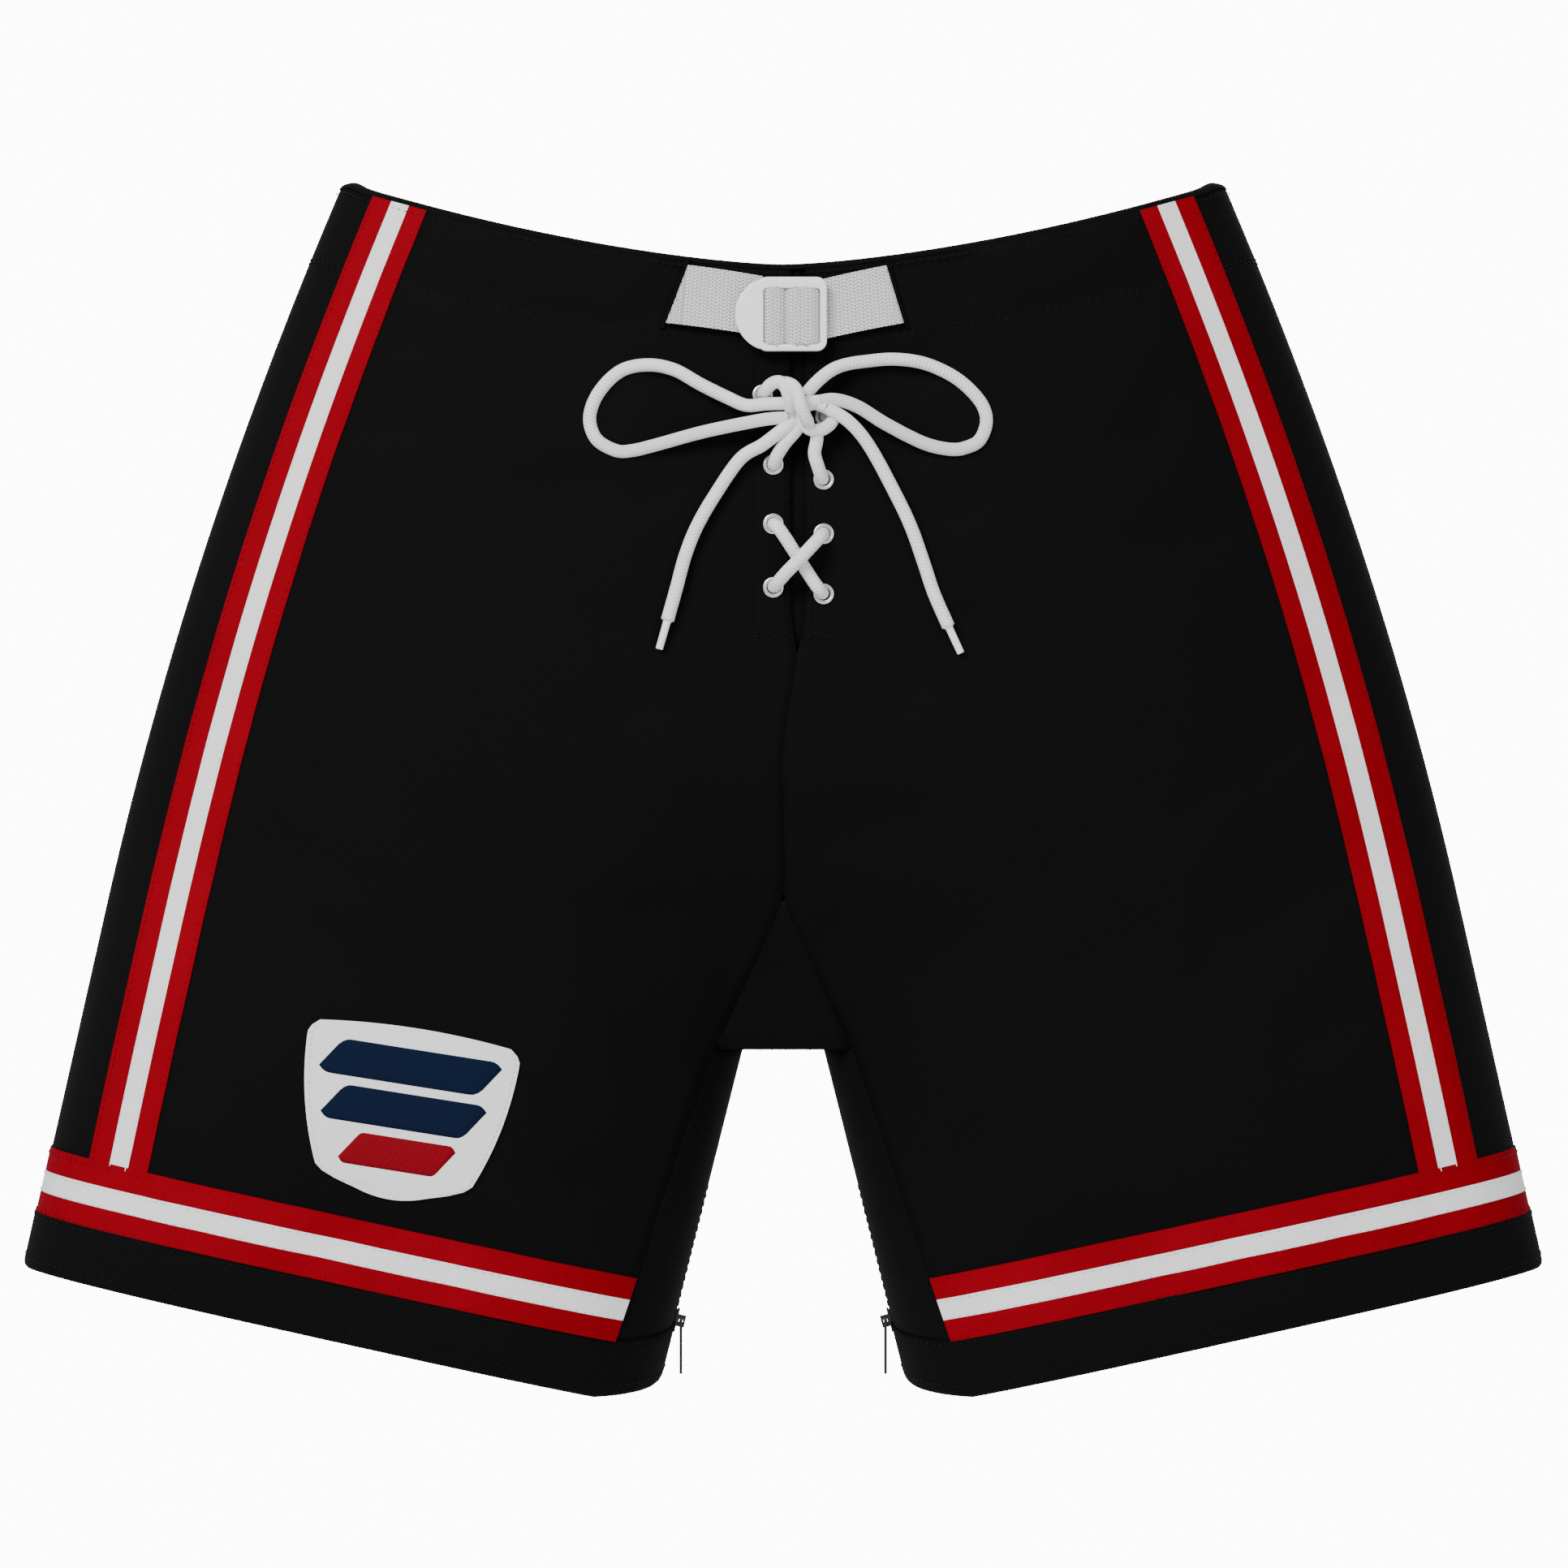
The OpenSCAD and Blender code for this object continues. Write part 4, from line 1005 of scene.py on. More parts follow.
@dataclass(frozen=True)
class ClothRun:
    """Settings for swelling a piece of fabric."""

    pressure: float
    growth: float
    cap: float
    frames: int = 20
    stiffness: float = 12.0
    bending: float = 0.4

    def run(self, obj: bpy.types.Object, pins: dict[int, float] | None = None) -> None:
        """Swells an object and keeps the result in its mesh.

        Args:
            obj: The piece.
            pins: How firmly each vertex is held, by number.
        """
        mesh = obj.data
        before = np.zeros(len(mesh.vertices) * 3)
        mesh.vertices.foreach_get("co", before)
        cloth = obj.modifiers.new("cloth", "CLOTH")
        settings = cloth.settings
        settings.quality = 5
        settings.mass = 0.2
        settings.effector_weights.gravity = 0.0
        settings.use_pressure = self.pressure > 0
        settings.uniform_pressure_force = self.pressure
        settings.shrink_min = -self.growth
        settings.tension_stiffness = settings.compression_stiffness = self.stiffness
        settings.bending_stiffness = self.bending
        if pins:
            group = obj.vertex_groups.new(name="held")
            for index, weight in pins.items():
                group.add([index], weight, "REPLACE")
            settings.vertex_group_mass = "held"
        cloth.point_cache.frame_end = self.frames
        scene = bpy.context.scene
        for frame in range(1, self.frames + 1):
            scene.frame_set(frame)
        graph = bpy.context.evaluated_depsgraph_get()
        after = np.zeros_like(before)
        obj.evaluated_get(graph).data.vertices.foreach_get("co", after)
        obj.modifiers.remove(cloth)
        obj.vertex_groups.clear()
        scene.frame_set(1)
        move = (after - before).reshape(-1, 3)
        move[~np.isfinite(move).all(axis=1)] = 0
        length = np.linalg.norm(move, axis=1, keepdims=True)
        move *= np.minimum(1, self.cap / np.maximum(length, 1e-9))
        mesh.vertices.foreach_set("co", (before.reshape(-1, 3) + move).ravel())
        mesh.update()
        log.info("%s swelled by at most %.1f mm", obj.name, min(length.max(), self.cap) * 1000)


# ---- Stitching ---------------------------------------------------------------------------


@dataclass
class Stitching:
    """Rows of stitches in one thread, gathered into one piece."""

    name: str
    finish: Finish
    slot: str
    pitch: float = 0.0042
    length: float = 0.0028
    radius: float = 0.00032

    def __post_init__(self) -> None:
        """Starts with no stitches."""
        self.bm = bmesh.new()

    def row(self, points: Sequence[Vector], lift: float, out: Vector | None = None) -> None:
        """Sews one row along a line.

        Args:
            points: The line, on the fabric.
            lift: Height of the thread over the line.
            out: Direction away from the fabric; it is taken from the pants' middle if left out.
        """
        travelled, due = 0.0, self.pitch / 2
        for a, b in zip(points, points[1:]):
            span = (b - a).length
            if span < 1e-7:
                continue
            way = (b - a) / span
            while due <= travelled + span:
                spot = a + way * (due - travelled)
                away = out or Vector((spot.x * 0.25, spot.y, 0)).normalized()
                away = (away - way * away.dot(way)).normalized()
                turn = Matrix((way, away.cross(way), away)).transposed().to_4x4()
                size = Matrix.Diagonal((self.length / 2, self.radius, self.radius, 1))
                bmesh.ops.create_icosphere(self.bm, subdivisions=1, radius=1.0, matrix=(
                    Matrix.Translation(spot + away * lift) @ turn @ size))
                due += self.pitch
            travelled += span

    def finish_piece(self) -> bpy.types.Object:
        """Makes the piece from its stitches.

        Returns:
            The stitching, not yet riding on a body.
        """
        piece = to_object(self.bm, self.name)
        self.finish.dress(piece, self.slot)
        return piece


# ---- Shell -------------------------------------------------------------------------------


class ShellHalf:
    """One side of the shell: front, side and back cloth, with stripes, bands and stitches."""

    COLUMN_CELLS = (30, 2, 2, 2, 4, 42)
    ROW_CELLS = (6, 36, 18, 2, 2, 2, 4)
    DEPTH = 0.0012
    TUNNEL_H = 0.036
    ON_STRIPE = 0.00085

    def __init__(self, form: ShellForm, side: Side) -> None:
        """Takes the form and the side to make."""
        self.form = form
        self.side = side
        self.column_stops: list[Curve] = [
            lambda t: form.fly_edge(side, t), lambda t: form.stripe_edge(t, 3),
            lambda t: form.stripe_edge(t, 2), lambda t: form.stripe_edge(t, 1),
            lambda t: form.stripe_edge(t, 0), lambda t: 1.0, lambda t: 2.0]
        self.row_stops: list[Curve] = [
            lambda g: form.rim(g) + 0.0008, lambda g: form.rim(g) + self.TUNNEL_H, form.crease,
            lambda g: form.band_top(g, 3), lambda g: form.band_top(g, 2),
            lambda g: form.band_top(g, 1), lambda g: form.band_top(g, 0),
            lambda g: form.hem(g) - 0.001]

    def relief(self, g: float, t: float) -> float:
        """Height of the cloth over its pads, and of its folds at the crease."""
        form = self.form
        below = t - form.crease(g)
        thigh = (ease((g - 0.04) / 0.16) * ease((0.92 - g) / 0.2)
                 * ease((below - 0.06) / 0.03) * ease((form.band_top(g, 3) - t) / 0.03))
        hip = (ease((g - 0.58) / 0.14) * ease((1.4 - g) / 0.14)
               * ease((t - 0.03) / 0.03) * ease((0.2 - t) / 0.03))
        kidney = (ease((g - 1.42) / 0.08) * ease((1.84 - g) / 0.06)
                  * ease((t - 0.03) / 0.03) * ease((0.186 - t) / 0.03))
        fold = math.exp(-((below - 0.012) / 0.012) ** 2) * ease(g / 0.3) * ease((2 - g) / 0.3)
        quiet = 1 - math.exp(-((g - 1) / 0.12) ** 2)
        swell = 0.0022 * thigh + 0.0016 * hip + 0.0016 * kidney - 0.0012 * fold
        spot = Vector((g * 5.0, t * 13.0, 3.7 * self.side.value))
        ripple = 0.0007 * noise.noise(spot) + 0.0004 * noise.noise(spot * 2.3)
        fly = 1 - ease((0.215 - t) / 0.02) * ease((0.22 - g) / 0.1)
        return (swell + ripple) * quiet * fly

    def places(self) -> np.ndarray:
        """Places of the cloth's grid, in the wearer's left frame."""
        columns, rows = sum(self.COLUMN_CELLS), sum(self.ROW_CELLS)
        found = np.zeros((columns + 1, rows + 1, 3))
        for i in range(columns + 1):
            for j in range(rows + 1):
                g = along(self.column_stops, self.COLUMN_CELLS, i, 0.15)
                t = along(self.row_stops, self.ROW_CELLS, j, g)
                for _ in range(2):
                    g = along(self.column_stops, self.COLUMN_CELLS, i, t)
                    t = along(self.row_stops, self.ROW_CELLS, j, g)
                x, y, z = self.form.point(g, t, self.DEPTH)
                found[i, j] = x, y + math.copysign(self.relief(g, t), y), z
        return found

    @property
    def stripe_lines(self) -> list[int]:
        """Grid columns on the stripe's four edges."""
        return [line_of(self.COLUMN_CELLS, n) for n in (1, 2, 3, 4)]

    @property
    def band_lines(self) -> list[int]:
        """Grid rows on the band's four edges."""
        return [line_of(self.ROW_CELLS, n) for n in (3, 4, 5, 6)]

    def zone(self, i: int, j: int) -> Zone:
        """What lies over the face in column i and row j."""
        stripe, band = self.stripe_lines, self.band_lines
        if band[0] <= j < band[3]:
            return Zone.WHITE if band[1] <= j < band[2] else Zone.RED
        if j < band[0] and stripe[0] <= i < stripe[3]:
            return Zone.WHITE if stripe[1] <= i < stripe[2] else Zone.RED
        return Zone.BODY

    def pins(self, columns: int, rows: int) -> dict[int, float]:
        """How firmly seams and edges hold the cloth while it swells."""
        side = line_of(self.COLUMN_CELLS, 5)
        held_columns = {0, columns, *range(line_of(self.COLUMN_CELLS, 1), side + 3)}
        held_rows = {0, rows, *(line_of(self.ROW_CELLS, n) for n in (1, 3, 6))}
        pins = {}
        for i in range(columns + 1):
            for j in range(rows + 1):
                edge = i in (0, columns) or j in (0, rows) or (i <= 6 and j <= 26)
                if edge or i in held_columns or j in held_rows:
                    pins[(rows - j) * (columns + 1) + i] = 1.0 if edge else 0.96
        return pins

    def build(self) -> None:
        """Makes the cloth, swells it, and sews its stripes, bands and stitches on."""
        places = mirrored(self.places(), self.side)
        columns, rows = places.shape[0] - 1, places.shape[1] - 1
        cloth = to_object(cloth_grid(places, flip=self.side is Side.RIGHT, zone=self.zone),
                          f"shell_cloth_{self.side.label}")
        ClothRun(pressure=0.3, growth=0.009, cap=0.003).run(
            cloth, self.pins(columns, rows))
        co = np.zeros(len(cloth.data.vertices) * 3)
        cloth.data.vertices.foreach_get("co", co)
        self.sewn = co.reshape(rows + 1, columns + 1, 3)[::-1].transpose(1, 0, 2)
        subdivide(cloth)
        names = self.side.label
        self.peel(cloth, Zone.RED, f"stripes_red_{names}", NYLON_RED, "nylon_red",
                  f"leg_stripes_red_{names}", "hip_stripes_red")
        self.peel(cloth, Zone.WHITE, f"stripes_white_{names}", NYLON_WHITE, "nylon_white",
                  f"leg_stripes_white_{names}", "hip_stripes_white")
        cloth.data.polygons.foreach_set("material_index", [0] * len(cloth.data.polygons))
        thicken(cloth, SHELL_CLOTH)
        NYLON_BLACK.dress(cloth, "nylon_black")
        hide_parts(f"front_panel_{names}", f"back_panel_{names}", f"leg_front_{names}",
                    f"leg_back_{names}", f"groin_crease_{names}")
        self.form.bend(cloth, self.side)
        self.stitch()

    def peel(self, cloth: bpy.types.Object, zone: Zone, name: str, finish: Finish, slot: str,
             *nodes: str) -> None:
        """Makes the cloth sewn over one zone from the shell's own faces.

        Args:
            cloth: The shell.
            zone: The zone to cover.
            name: Piece name.
            finish: Its finish.
            slot: Its material slot.
            *nodes: The CAD nodes it stands for.
        """
        bm = bmesh.new()
        bm.from_mesh(cloth.data)
        others = [f for f in bm.faces if f.material_index != zone.value]
        bmesh.ops.delete(bm, geom=others, context="FACES")
        bm.normal_update()
        for vert in bm.verts:
            vert.co += vert.normal * 0.0008
        for face in bm.faces:
            face.material_index = 0
        piece = to_object(bm, name)
        thicken(piece, 0.00075)
        round_edges(piece, 0.0002, 1)
        finish.dress(piece, slot)
        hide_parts(*nodes)
        self.form.bend(piece, self.side)

    def column(self, i: int, first: int, last: int, shift: float = 0.0) -> list[Vector]:
        """Line down the cloth beside a column, shifted towards the next one."""
        other = self.sewn[i + 1 if shift > 0 else i - 1]
        rows = range(first, last + 1)
        found = []
        for j in rows:
            here, beside = Vector(self.sewn[i, j]), Vector(other[j])
            found.append(here + (beside - here).normalized() * abs(shift))
        return found

    def row(self, j: int, shift: float = 0.0) -> list[Vector]:
        """Line round the cloth beside a row, shifted towards the next one."""
        other = j + 1 if shift > 0 else j - 1
        found = []
        for i in range(self.sewn.shape[0]):
            here, beside = Vector(self.sewn[i, j]), Vector(self.sewn[i, other])
            found.append(here + (beside - here).normalized() * abs(shift))
        return found

    def stitch(self) -> None:
        """Sews the stripes, bands, tunnel and hem."""
        label = self.side.label
        stripe, band = self.stripe_lines, self.band_lines
        red = Stitching(f"stripe_stitches_red_{label}", THREAD_RED, "nylon_red")
        white = Stitching(f"stripe_stitches_white_{label}", THREAD_WHITE, "nylon_white")
        black = Stitching(f"seam_stitches_{label}", THREAD_BLACK, "nylon_black")
        for thread, edges, inset in ((red, (0, 3), 0.0011), (white, (1, 2), 0.0009)):
            for edge, shift in zip(edges, (inset, -inset)):
                thread.row(self.column(stripe[edge], 1, band[0], shift), self.ON_STRIPE)
            for edge, shift in zip(edges, (inset, -inset)):
                thread.row(self.row(band[edge], shift), self.ON_STRIPE)
        tunnel = line_of(self.ROW_CELLS, 1)
        black.row(self.row(tunnel), 0.0001)
        black.row(self.row(tunnel, 0.002), 0.0001)
        behind = line_of(self.COLUMN_CELLS, 5) + 3
        black.row(self.column(behind, 1, band[0]), -0.0001)
        black.row(self.column(self.sewn.shape[0] - 1, 1, tunnel * 7, -0.002), 0.0001)
        for stitching in (red, white, black):
            self.form.bend(stitching.finish_piece(), self.side)


@dataclass
class InnerLeg:
    """Inner-leg panel of one side, with a slot for its zip, and the zip's tapes."""

    form: ShellForm
    side: Side
    depth: float = 0.0012
    slot_half: float = 0.0052
    zip_margin: float = 0.067

    def places(self, columns: Sequence[int], rows: Sequence[int]) -> np.ndarray:
        """Places of the panel's grid, in the wearer's left frame."""
        form = self.form
        slot_top = form.crotch_drop + self.zip_margin
        across: list[Curve] = [lambda t: -1.0, self.slot_edge(-1), self.slot_edge(1),
                               lambda t: 1.0]
        down: list[Curve] = [lambda k: form.crotch_drop, lambda k: slot_top,
                             lambda k: form.inner_hem(k) - 0.001]
        found = np.zeros((sum(columns) + 1, sum(rows) + 1, 3))
        for i in range(found.shape[0]):
            for j in range(found.shape[1]):
                t = along(down, rows, j, 0.0)
                k = along(across, columns, i, t)
                t = along(down, rows, j, k)
                k = along(across, columns, i, t)
                found[i, j] = form.inner_point(k, t, self.depth)
        return found

    def slot_edge(self, way: int) -> Curve:
        """Edge of the zip's slot, in front (-1) or behind (1)."""
        form = self.form

        def edge(t: float) -> float:
            """Share k of the slot's edge at drop t."""
            return way * self.slot_half / form.surface_y(form.inseam(t) + form.wrap(t), t, 0.0)

        return edge

    def build(self) -> None:
        """Makes the panel, its stitches along the slot and the zip's tapes."""
        columns, rows = (12, 4, 12), (8, 12)
        places = mirrored(self.places(columns, rows), self.side)
        slot = set(range(columns[0], columns[0] + columns[1]))
        # Seen from between the legs the front seam is on the other hand: the faces turn round
        bm = cloth_grid(places, flip=self.side is Side.LEFT, zone=lambda i, j: (
            Zone.RED if i in slot and j >= rows[0] else Zone.BODY))
        bmesh.ops.delete(bm, geom=[f for f in bm.faces if f.material_index], context="FACES")
        panel = to_object(bm, f"inner_leg_cloth_{self.side.label}")
        subdivide(panel)
        thicken(panel, SHELL_CLOTH)
        NYLON_BLACK.dress(panel, "nylon_black")
        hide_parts(f"inner_leg_{self.side.label}")
        self.form.bend(panel, self.side)
        seams = Stitching(f"inner_leg_stitches_{self.side.label}", THREAD_BLACK, "nylon_black")
        out = Vector((-self.side.value, 0, 0))
        for i, shift in ((columns[0], -1), (columns[0] + columns[1], 1)):
            line = [Vector(places[i, j]) + Vector((0, 0.0016 * shift, 0))
                    for j in range(rows[0], places.shape[1])]
            seams.row(line, 0.0001, out)
        self.form.bend(seams.finish_piece(), self.side)
        self.tapes()

    def tapes(self) -> None:
        """Makes the woven tapes that the zip's teeth are clamped to."""
        form, top = self.form, self.form.crotch_drop + self.zip_margin
        bottom = form.hem_drop - 0.012
        bm = bmesh.new()
        for way in (-1, 1):
            def place(u: float, v: float, way: int = way) -> Point:
                """Point of one tape."""
                t = mix(top, bottom, v)
                return (form.inseam(t) + 0.0021, way * mix(0.0023, 0.0075, u), -t)

            join_into(bm, cloth_grid(mirrored(fill_places(4, 16, place), self.side),
                                     flip=(way > 0) == (self.side is Side.LEFT)))
        tape = to_object(bm, f"zip_tape_{self.side.label}")
        thicken(tape, 0.0006)
        LINING.dress(tape, "lining_black")
        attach(tape, self.side.leg)


@dataclass
class Gusset:
    """Crotch gusset between the legs: a bow-tie of cloth from front to back."""

    form: ShellForm
    name: str
    depth: float
    finish: Finish
    slot: str
    flip: bool = False
    nodes: tuple[str, ...] = ()
    rise: float = 0.9
    overlap: float = 0.0012

    def place(self, u: float, v: float) -> Point:
        """Point of the gusset, u across and v from front to back."""
        form = self.form
        w = mix(-1 - self.rise, 1 + self.rise, v)
        k = min(max(w, -1.0), 1.0)
        if abs(w) <= 1:
            t = form.crotch_drop
            half = form.inner_point(k, t, self.depth)[0]
        else:
            t = mix(form.crotch_drop, form.gusset_top, (abs(w) - 1) / self.rise)
            half = form.inner_edge(t - 1e-6, self.depth)
        x = mix(-1, 1, u) * (half + self.overlap)
        return x, form.surface_y(abs(x), t, self.depth) * k, -t

    def build(self) -> None:
        """Makes the gusset."""
        bm = cloth_grid(fill_places(10, 40, self.place), flip=self.flip)
        bmesh.ops.remove_doubles(bm, verts=bm.verts, dist=1e-5)
        gusset = to_object(bm, self.name)
        thicken(gusset, SHELL_CLOTH)
        self.finish.dress(gusset, self.slot)
        if self.nodes:
            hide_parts(*self.nodes)
        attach(gusset, "seat")


@dataclass
class Binding:
    """Folded tape over the rim or a hem: outer leg, fold and inner leg."""

    form: ShellForm
    outer_depth: float = 0.0006
    inner_depth: float = 0.0046
    fold: float = 0.0010

    def profile(self, outer: float, inner: float) -> list[tuple[float, float]]:
        """Section of the tape.

        Args:
            outer: Height of its outer leg.
            inner: Height of its inner leg.

        Returns:
            Pairs of the distance from the edge, into the piece, and the depth.
        """
        middle = (self.outer_depth + self.inner_depth) / 2
        half = (self.inner_depth - self.outer_depth) / 2
        turns = [math.pi * n / 6 for n in range(7)]
        arc = [(self.fold * (1 - 2 * math.sin(a)), middle - half * math.cos(a)) for a in turns]
        return [(mix(outer, self.fold, n / 6), self.outer_depth) for n in range(6)] + arc + [
            (mix(self.fold, inner, n / 5), self.inner_depth) for n in range(1, 6)]

    def rim(self) -> None:
        """Binds the waist rim, inside, so the stripes run up to its fold."""
        section = replace(self, outer_depth=0.0012, inner_depth=0.0064).profile(0.0014, 0.0085)
        columns = 150
        places = np.array([[self.form.whole_turn(g, self.form.rim(g) + along_edge, d)
                            for along_edge, d in section]
                           for g in (mix(-2, 2, i / columns) for i in range(columns + 1))])
        bm = cloth_grid(places, tube=True)
        tape = to_object(bm, "rim_binding")
        thicken(tape, TAPE_CLOTH, 0.0)
        NYLON_BLACK.dress(tape, "nylon_black")
        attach(tape, "seat")
        stitches = Stitching("rim_stitches", THREAD_BLACK, "nylon_black", pitch=0.0038)
        line = [Vector(self.form.whole_turn(g, self.form.rim(g) + 0.0035, 0.0004))
                for g in (mix(-2, 2, i / 200) for i in range(201))]
        stitches.row(line, 0.0)
        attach(stitches.finish_piece(), "seat")

    def hem_place(self, u: float, edge: float, d: float) -> Point:
        """Point round a hem: the outer cloth up to u = 0.8, then the inner leg."""
        form = self.form
        if u < 0.8:
            g = u / 0.8 * 2
            return form.point(g, form.hem(g) - edge, d)
        k = 1 - (u - 0.8) / 0.2 * 2
        return form.inner_point(k, form.inner_hem(k) - edge, d)

    def hem(self, side: Side) -> None:
        """Binds one leg's hem with a wide strip.

        Args:
            side: The leg.
        """
        section = self.profile(self.form.hem_strip_h, 0.016)
        columns = 150
        rings = [[self.hem_place(i / columns, edge, d) for edge, d in section]
                 for i in range(columns)]
        places = mirrored(np.array([*rings, rings[0]], float), side)
        bm = cloth_grid(places, flip=side is Side.LEFT, tube=True)
        bmesh.ops.recalc_face_normals(bm, faces=bm.faces)
        tape = to_object(bm, f"hem_strip_{side.label}")
        thicken(tape, TAPE_CLOTH, 0.0)
        NYLON_BLACK.dress(tape, "nylon_black")
        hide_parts(f"hem_binding_{side.label}")
        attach(tape, side.leg)
        stitches = Stitching(f"hem_stitches_{side.label}", THREAD_BLACK, "nylon_black")
        for edge in (0.004, self.form.hem_strip_h - 0.002):
            line = [Vector(self.hem_place((i % 300) / 300, edge, 0.0002)) for i in range(301)]
            line = [Vector((p.x * side.value, p.y, p.z)) for p in line]
            stitches.row(line, 0.0)
        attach(stitches.finish_piece(), side.leg)


# ---- Lining ------------------------------------------------------------------------------


@dataclass
class Lining:
    """Knit lining inside the pads, drawn out to the tunnel above and the hems below."""

    outer: ShellForm
    depth: float = 0.026
    crotch_lift: float = 0.012
    edge_depth: float = 0.0050
    tunnel_h: float = 0.036

    def __post_init__(self) -> None:
        """Works out the lining's own form."""
        self.form = self.outer.inset(self.depth, self.crotch_lift)

    def sink(self, from_rim: float, from_hem: float, seed: float) -> float:
        """Depth under the lining's form, less where it is drawn out to an edge."""
        share = ease(from_rim / 0.014) * ease(from_hem / 0.04)
        ripple = 0.0016 * noise.noise(Vector((seed, from_rim * 16, from_hem * 5)))
        return (ripple - (self.depth - self.edge_depth) * (1 - share)) if share < 1 else ripple

    def build(self) -> None:
        """Makes the lining of both sides and its gusset."""
        for side in Side:
            self.half(side)
            self.inner(side)
        gusset = Gusset(self.form, "lining_gusset", 0.0, LINING, "lining_black", flip=True)
        gusset.build()

    def half(self, side: Side) -> None:
        """Makes one side's lining from the tunnel to the hem.

        Args:
            side: The side to make.
        """
        form, outer = self.form, self.outer
        cells = (8, 24, 14, 6)
        stops: list[Curve] = [lambda g: outer.rim(g) + self.tunnel_h - 0.006,
                              lambda g: outer.rim(g) + self.tunnel_h + 0.010, form.crease,
                              lambda g: form.hem(g) - 0.04, lambda g: form.hem(g) - 0.006]
        columns = 56
        places = np.zeros((columns + 1, sum(cells) + 1, 3))
        for i in range(columns + 1):
            g = 2 * i / columns
            for j in range(sum(cells) + 1):
                t = along(stops, cells, j, g)
                sink = self.sink(t - stops[0](g), outer.hem(g) - 0.004 - t,
                                 g * 6 + side.value * 9)
                places[i, j] = form.point(g, t, sink)
                if t < form.crotch_drop and i in (0, columns):
                    places[i, j, 0] = max(places[i, j, 0], 0.0)
        bm = cloth_grid(mirrored(places, side), flip=side is Side.LEFT)
        self.finish(bm, f"lining_{side.label}", side, f"leg_lining_{side.label}",
                    "seat_lining")

    def inner(self, side: Side) -> None:
        """Makes one side's lining over the inner leg.

        Args:
            side: The side to make.
        """
        form, outer = self.form, self.outer

        def place(u: float, v: float) -> Point:
            """Point of the inner-leg lining."""
            k = mix(-1, 1, u)
            t = mix(form.crotch_drop, form.hem_drop - 0.006, v)
            return form.inner_point(k, t, self.sink(1.0, outer.hem_drop - 0.004 - t, k * 3))

        bm = cloth_grid(mirrored(fill_places(20, 24, place), side), flip=side is Side.RIGHT)
        self.finish(bm, f"lining_inner_{side.label}", side)

    def finish(self, bm: bmesh.types.BMesh, name: str, side: Side, *nodes: str) -> None:
        """Subdivides, thickens and dresses a piece of lining."""
        piece = to_object(bm, name)
        subdivide(piece)
        thicken(piece, LINING_CLOTH)
        LINING.dress(piece, "lining_black")
        if nodes:
            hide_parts(*nodes)
        self.outer.bend(piece, side)

    def casing(self) -> None:
        """Makes the belt's casing, sewn inside the rim."""
        outer = self.outer

        def place(u: float, v: float) -> Point:
            """Point of the casing, puffed out by the webbing in it."""
            g = mix(-2, 2, u)
            t = outer.rim(g) + mix(0.0012, self.tunnel_h + 0.0014, v)
            return outer.whole_turn(g, t, 0.0054 + 0.0012 * math.sin(math.pi * v) ** 0.6)

        bm = cloth_grid(fill_places(140, 10, place), flip=True, tube=True)
        casing = to_object(bm, "belt_casing")
        thicken(casing, LINING_CLOTH)
        LINING.dress(casing, "lining_black")
        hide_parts("belt_tunnel")
        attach(casing, "seat")


# ---- Pads --------------------------------------------------------------------------------


@dataclass
class Pads:
    """Foam pads in fabric sleeves, swelled from the CAD's blocks, and their caps."""

    shrink: float = 0.0014
    voxel: float = 0.006

    def build(self) -> None:
        """Makes every pad and dresses every cap."""
        self.pad("spine_pad", "seat")
        for node, on_leg in (("kidney_pad", False), ("hip_pad", False), ("thigh_pad", True)):
            made = None
            for side in Side:
                made = self.pad(f"{node}_{side.label}", side.leg if on_leg else "seat", made)
        nodes = bpy.data.objects
        for name in ("spine_cap", "hip_cap_left", "hip_cap_right", "thigh_cap_left",
                     "thigh_cap_right"):
            CAP.dress(nodes[name], "cap_plastic")

    def pad(self, node: str, body: str,
            other: bpy.types.Object | None = None) -> bpy.types.Object:
        """Makes one pad.

        Args:
            node: Its CAD node.
            body: The body that it rides on.
            other: The pad that it mirrors, if one is made.

        Returns:
            The pad.
        """
        bm = bmesh.new()
        if other:
            bm.from_mesh(other.data)
            bmesh.ops.scale(bm, vec=(-1, 1, 1), verts=bm.verts)
            bmesh.ops.reverse_faces(bm, faces=bm.faces)
        else:
            bm.from_mesh(bpy.data.objects[node].data)
            bmesh.ops.remove_doubles(bm, verts=bm.verts, dist=1e-6)
            bm.normal_update()
            for vert in bm.verts:
                vert.co -= vert.normal * self.shrink
        pad = to_object(bm, f"{node}_sleeve")
        if not other:
            remesh = pad.modifiers.new("remesh", "REMESH")
            remesh.mode = "VOXEL"
            remesh.voxel_size = self.voxel
            apply_modifiers(pad)
            ClothRun(pressure=4.0, growth=0.0, cap=0.002, frames=12).run(pad)
            subdivide(pad)
            pad.data.polygons.foreach_set("use_smooth", [True] * len(pad.data.polygons))
        SLEEVE.dress(pad, "foam")
        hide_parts(node)
        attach(pad, body)
        return pad


# ---- Belt and buckle ---------------------------------------------------------------------


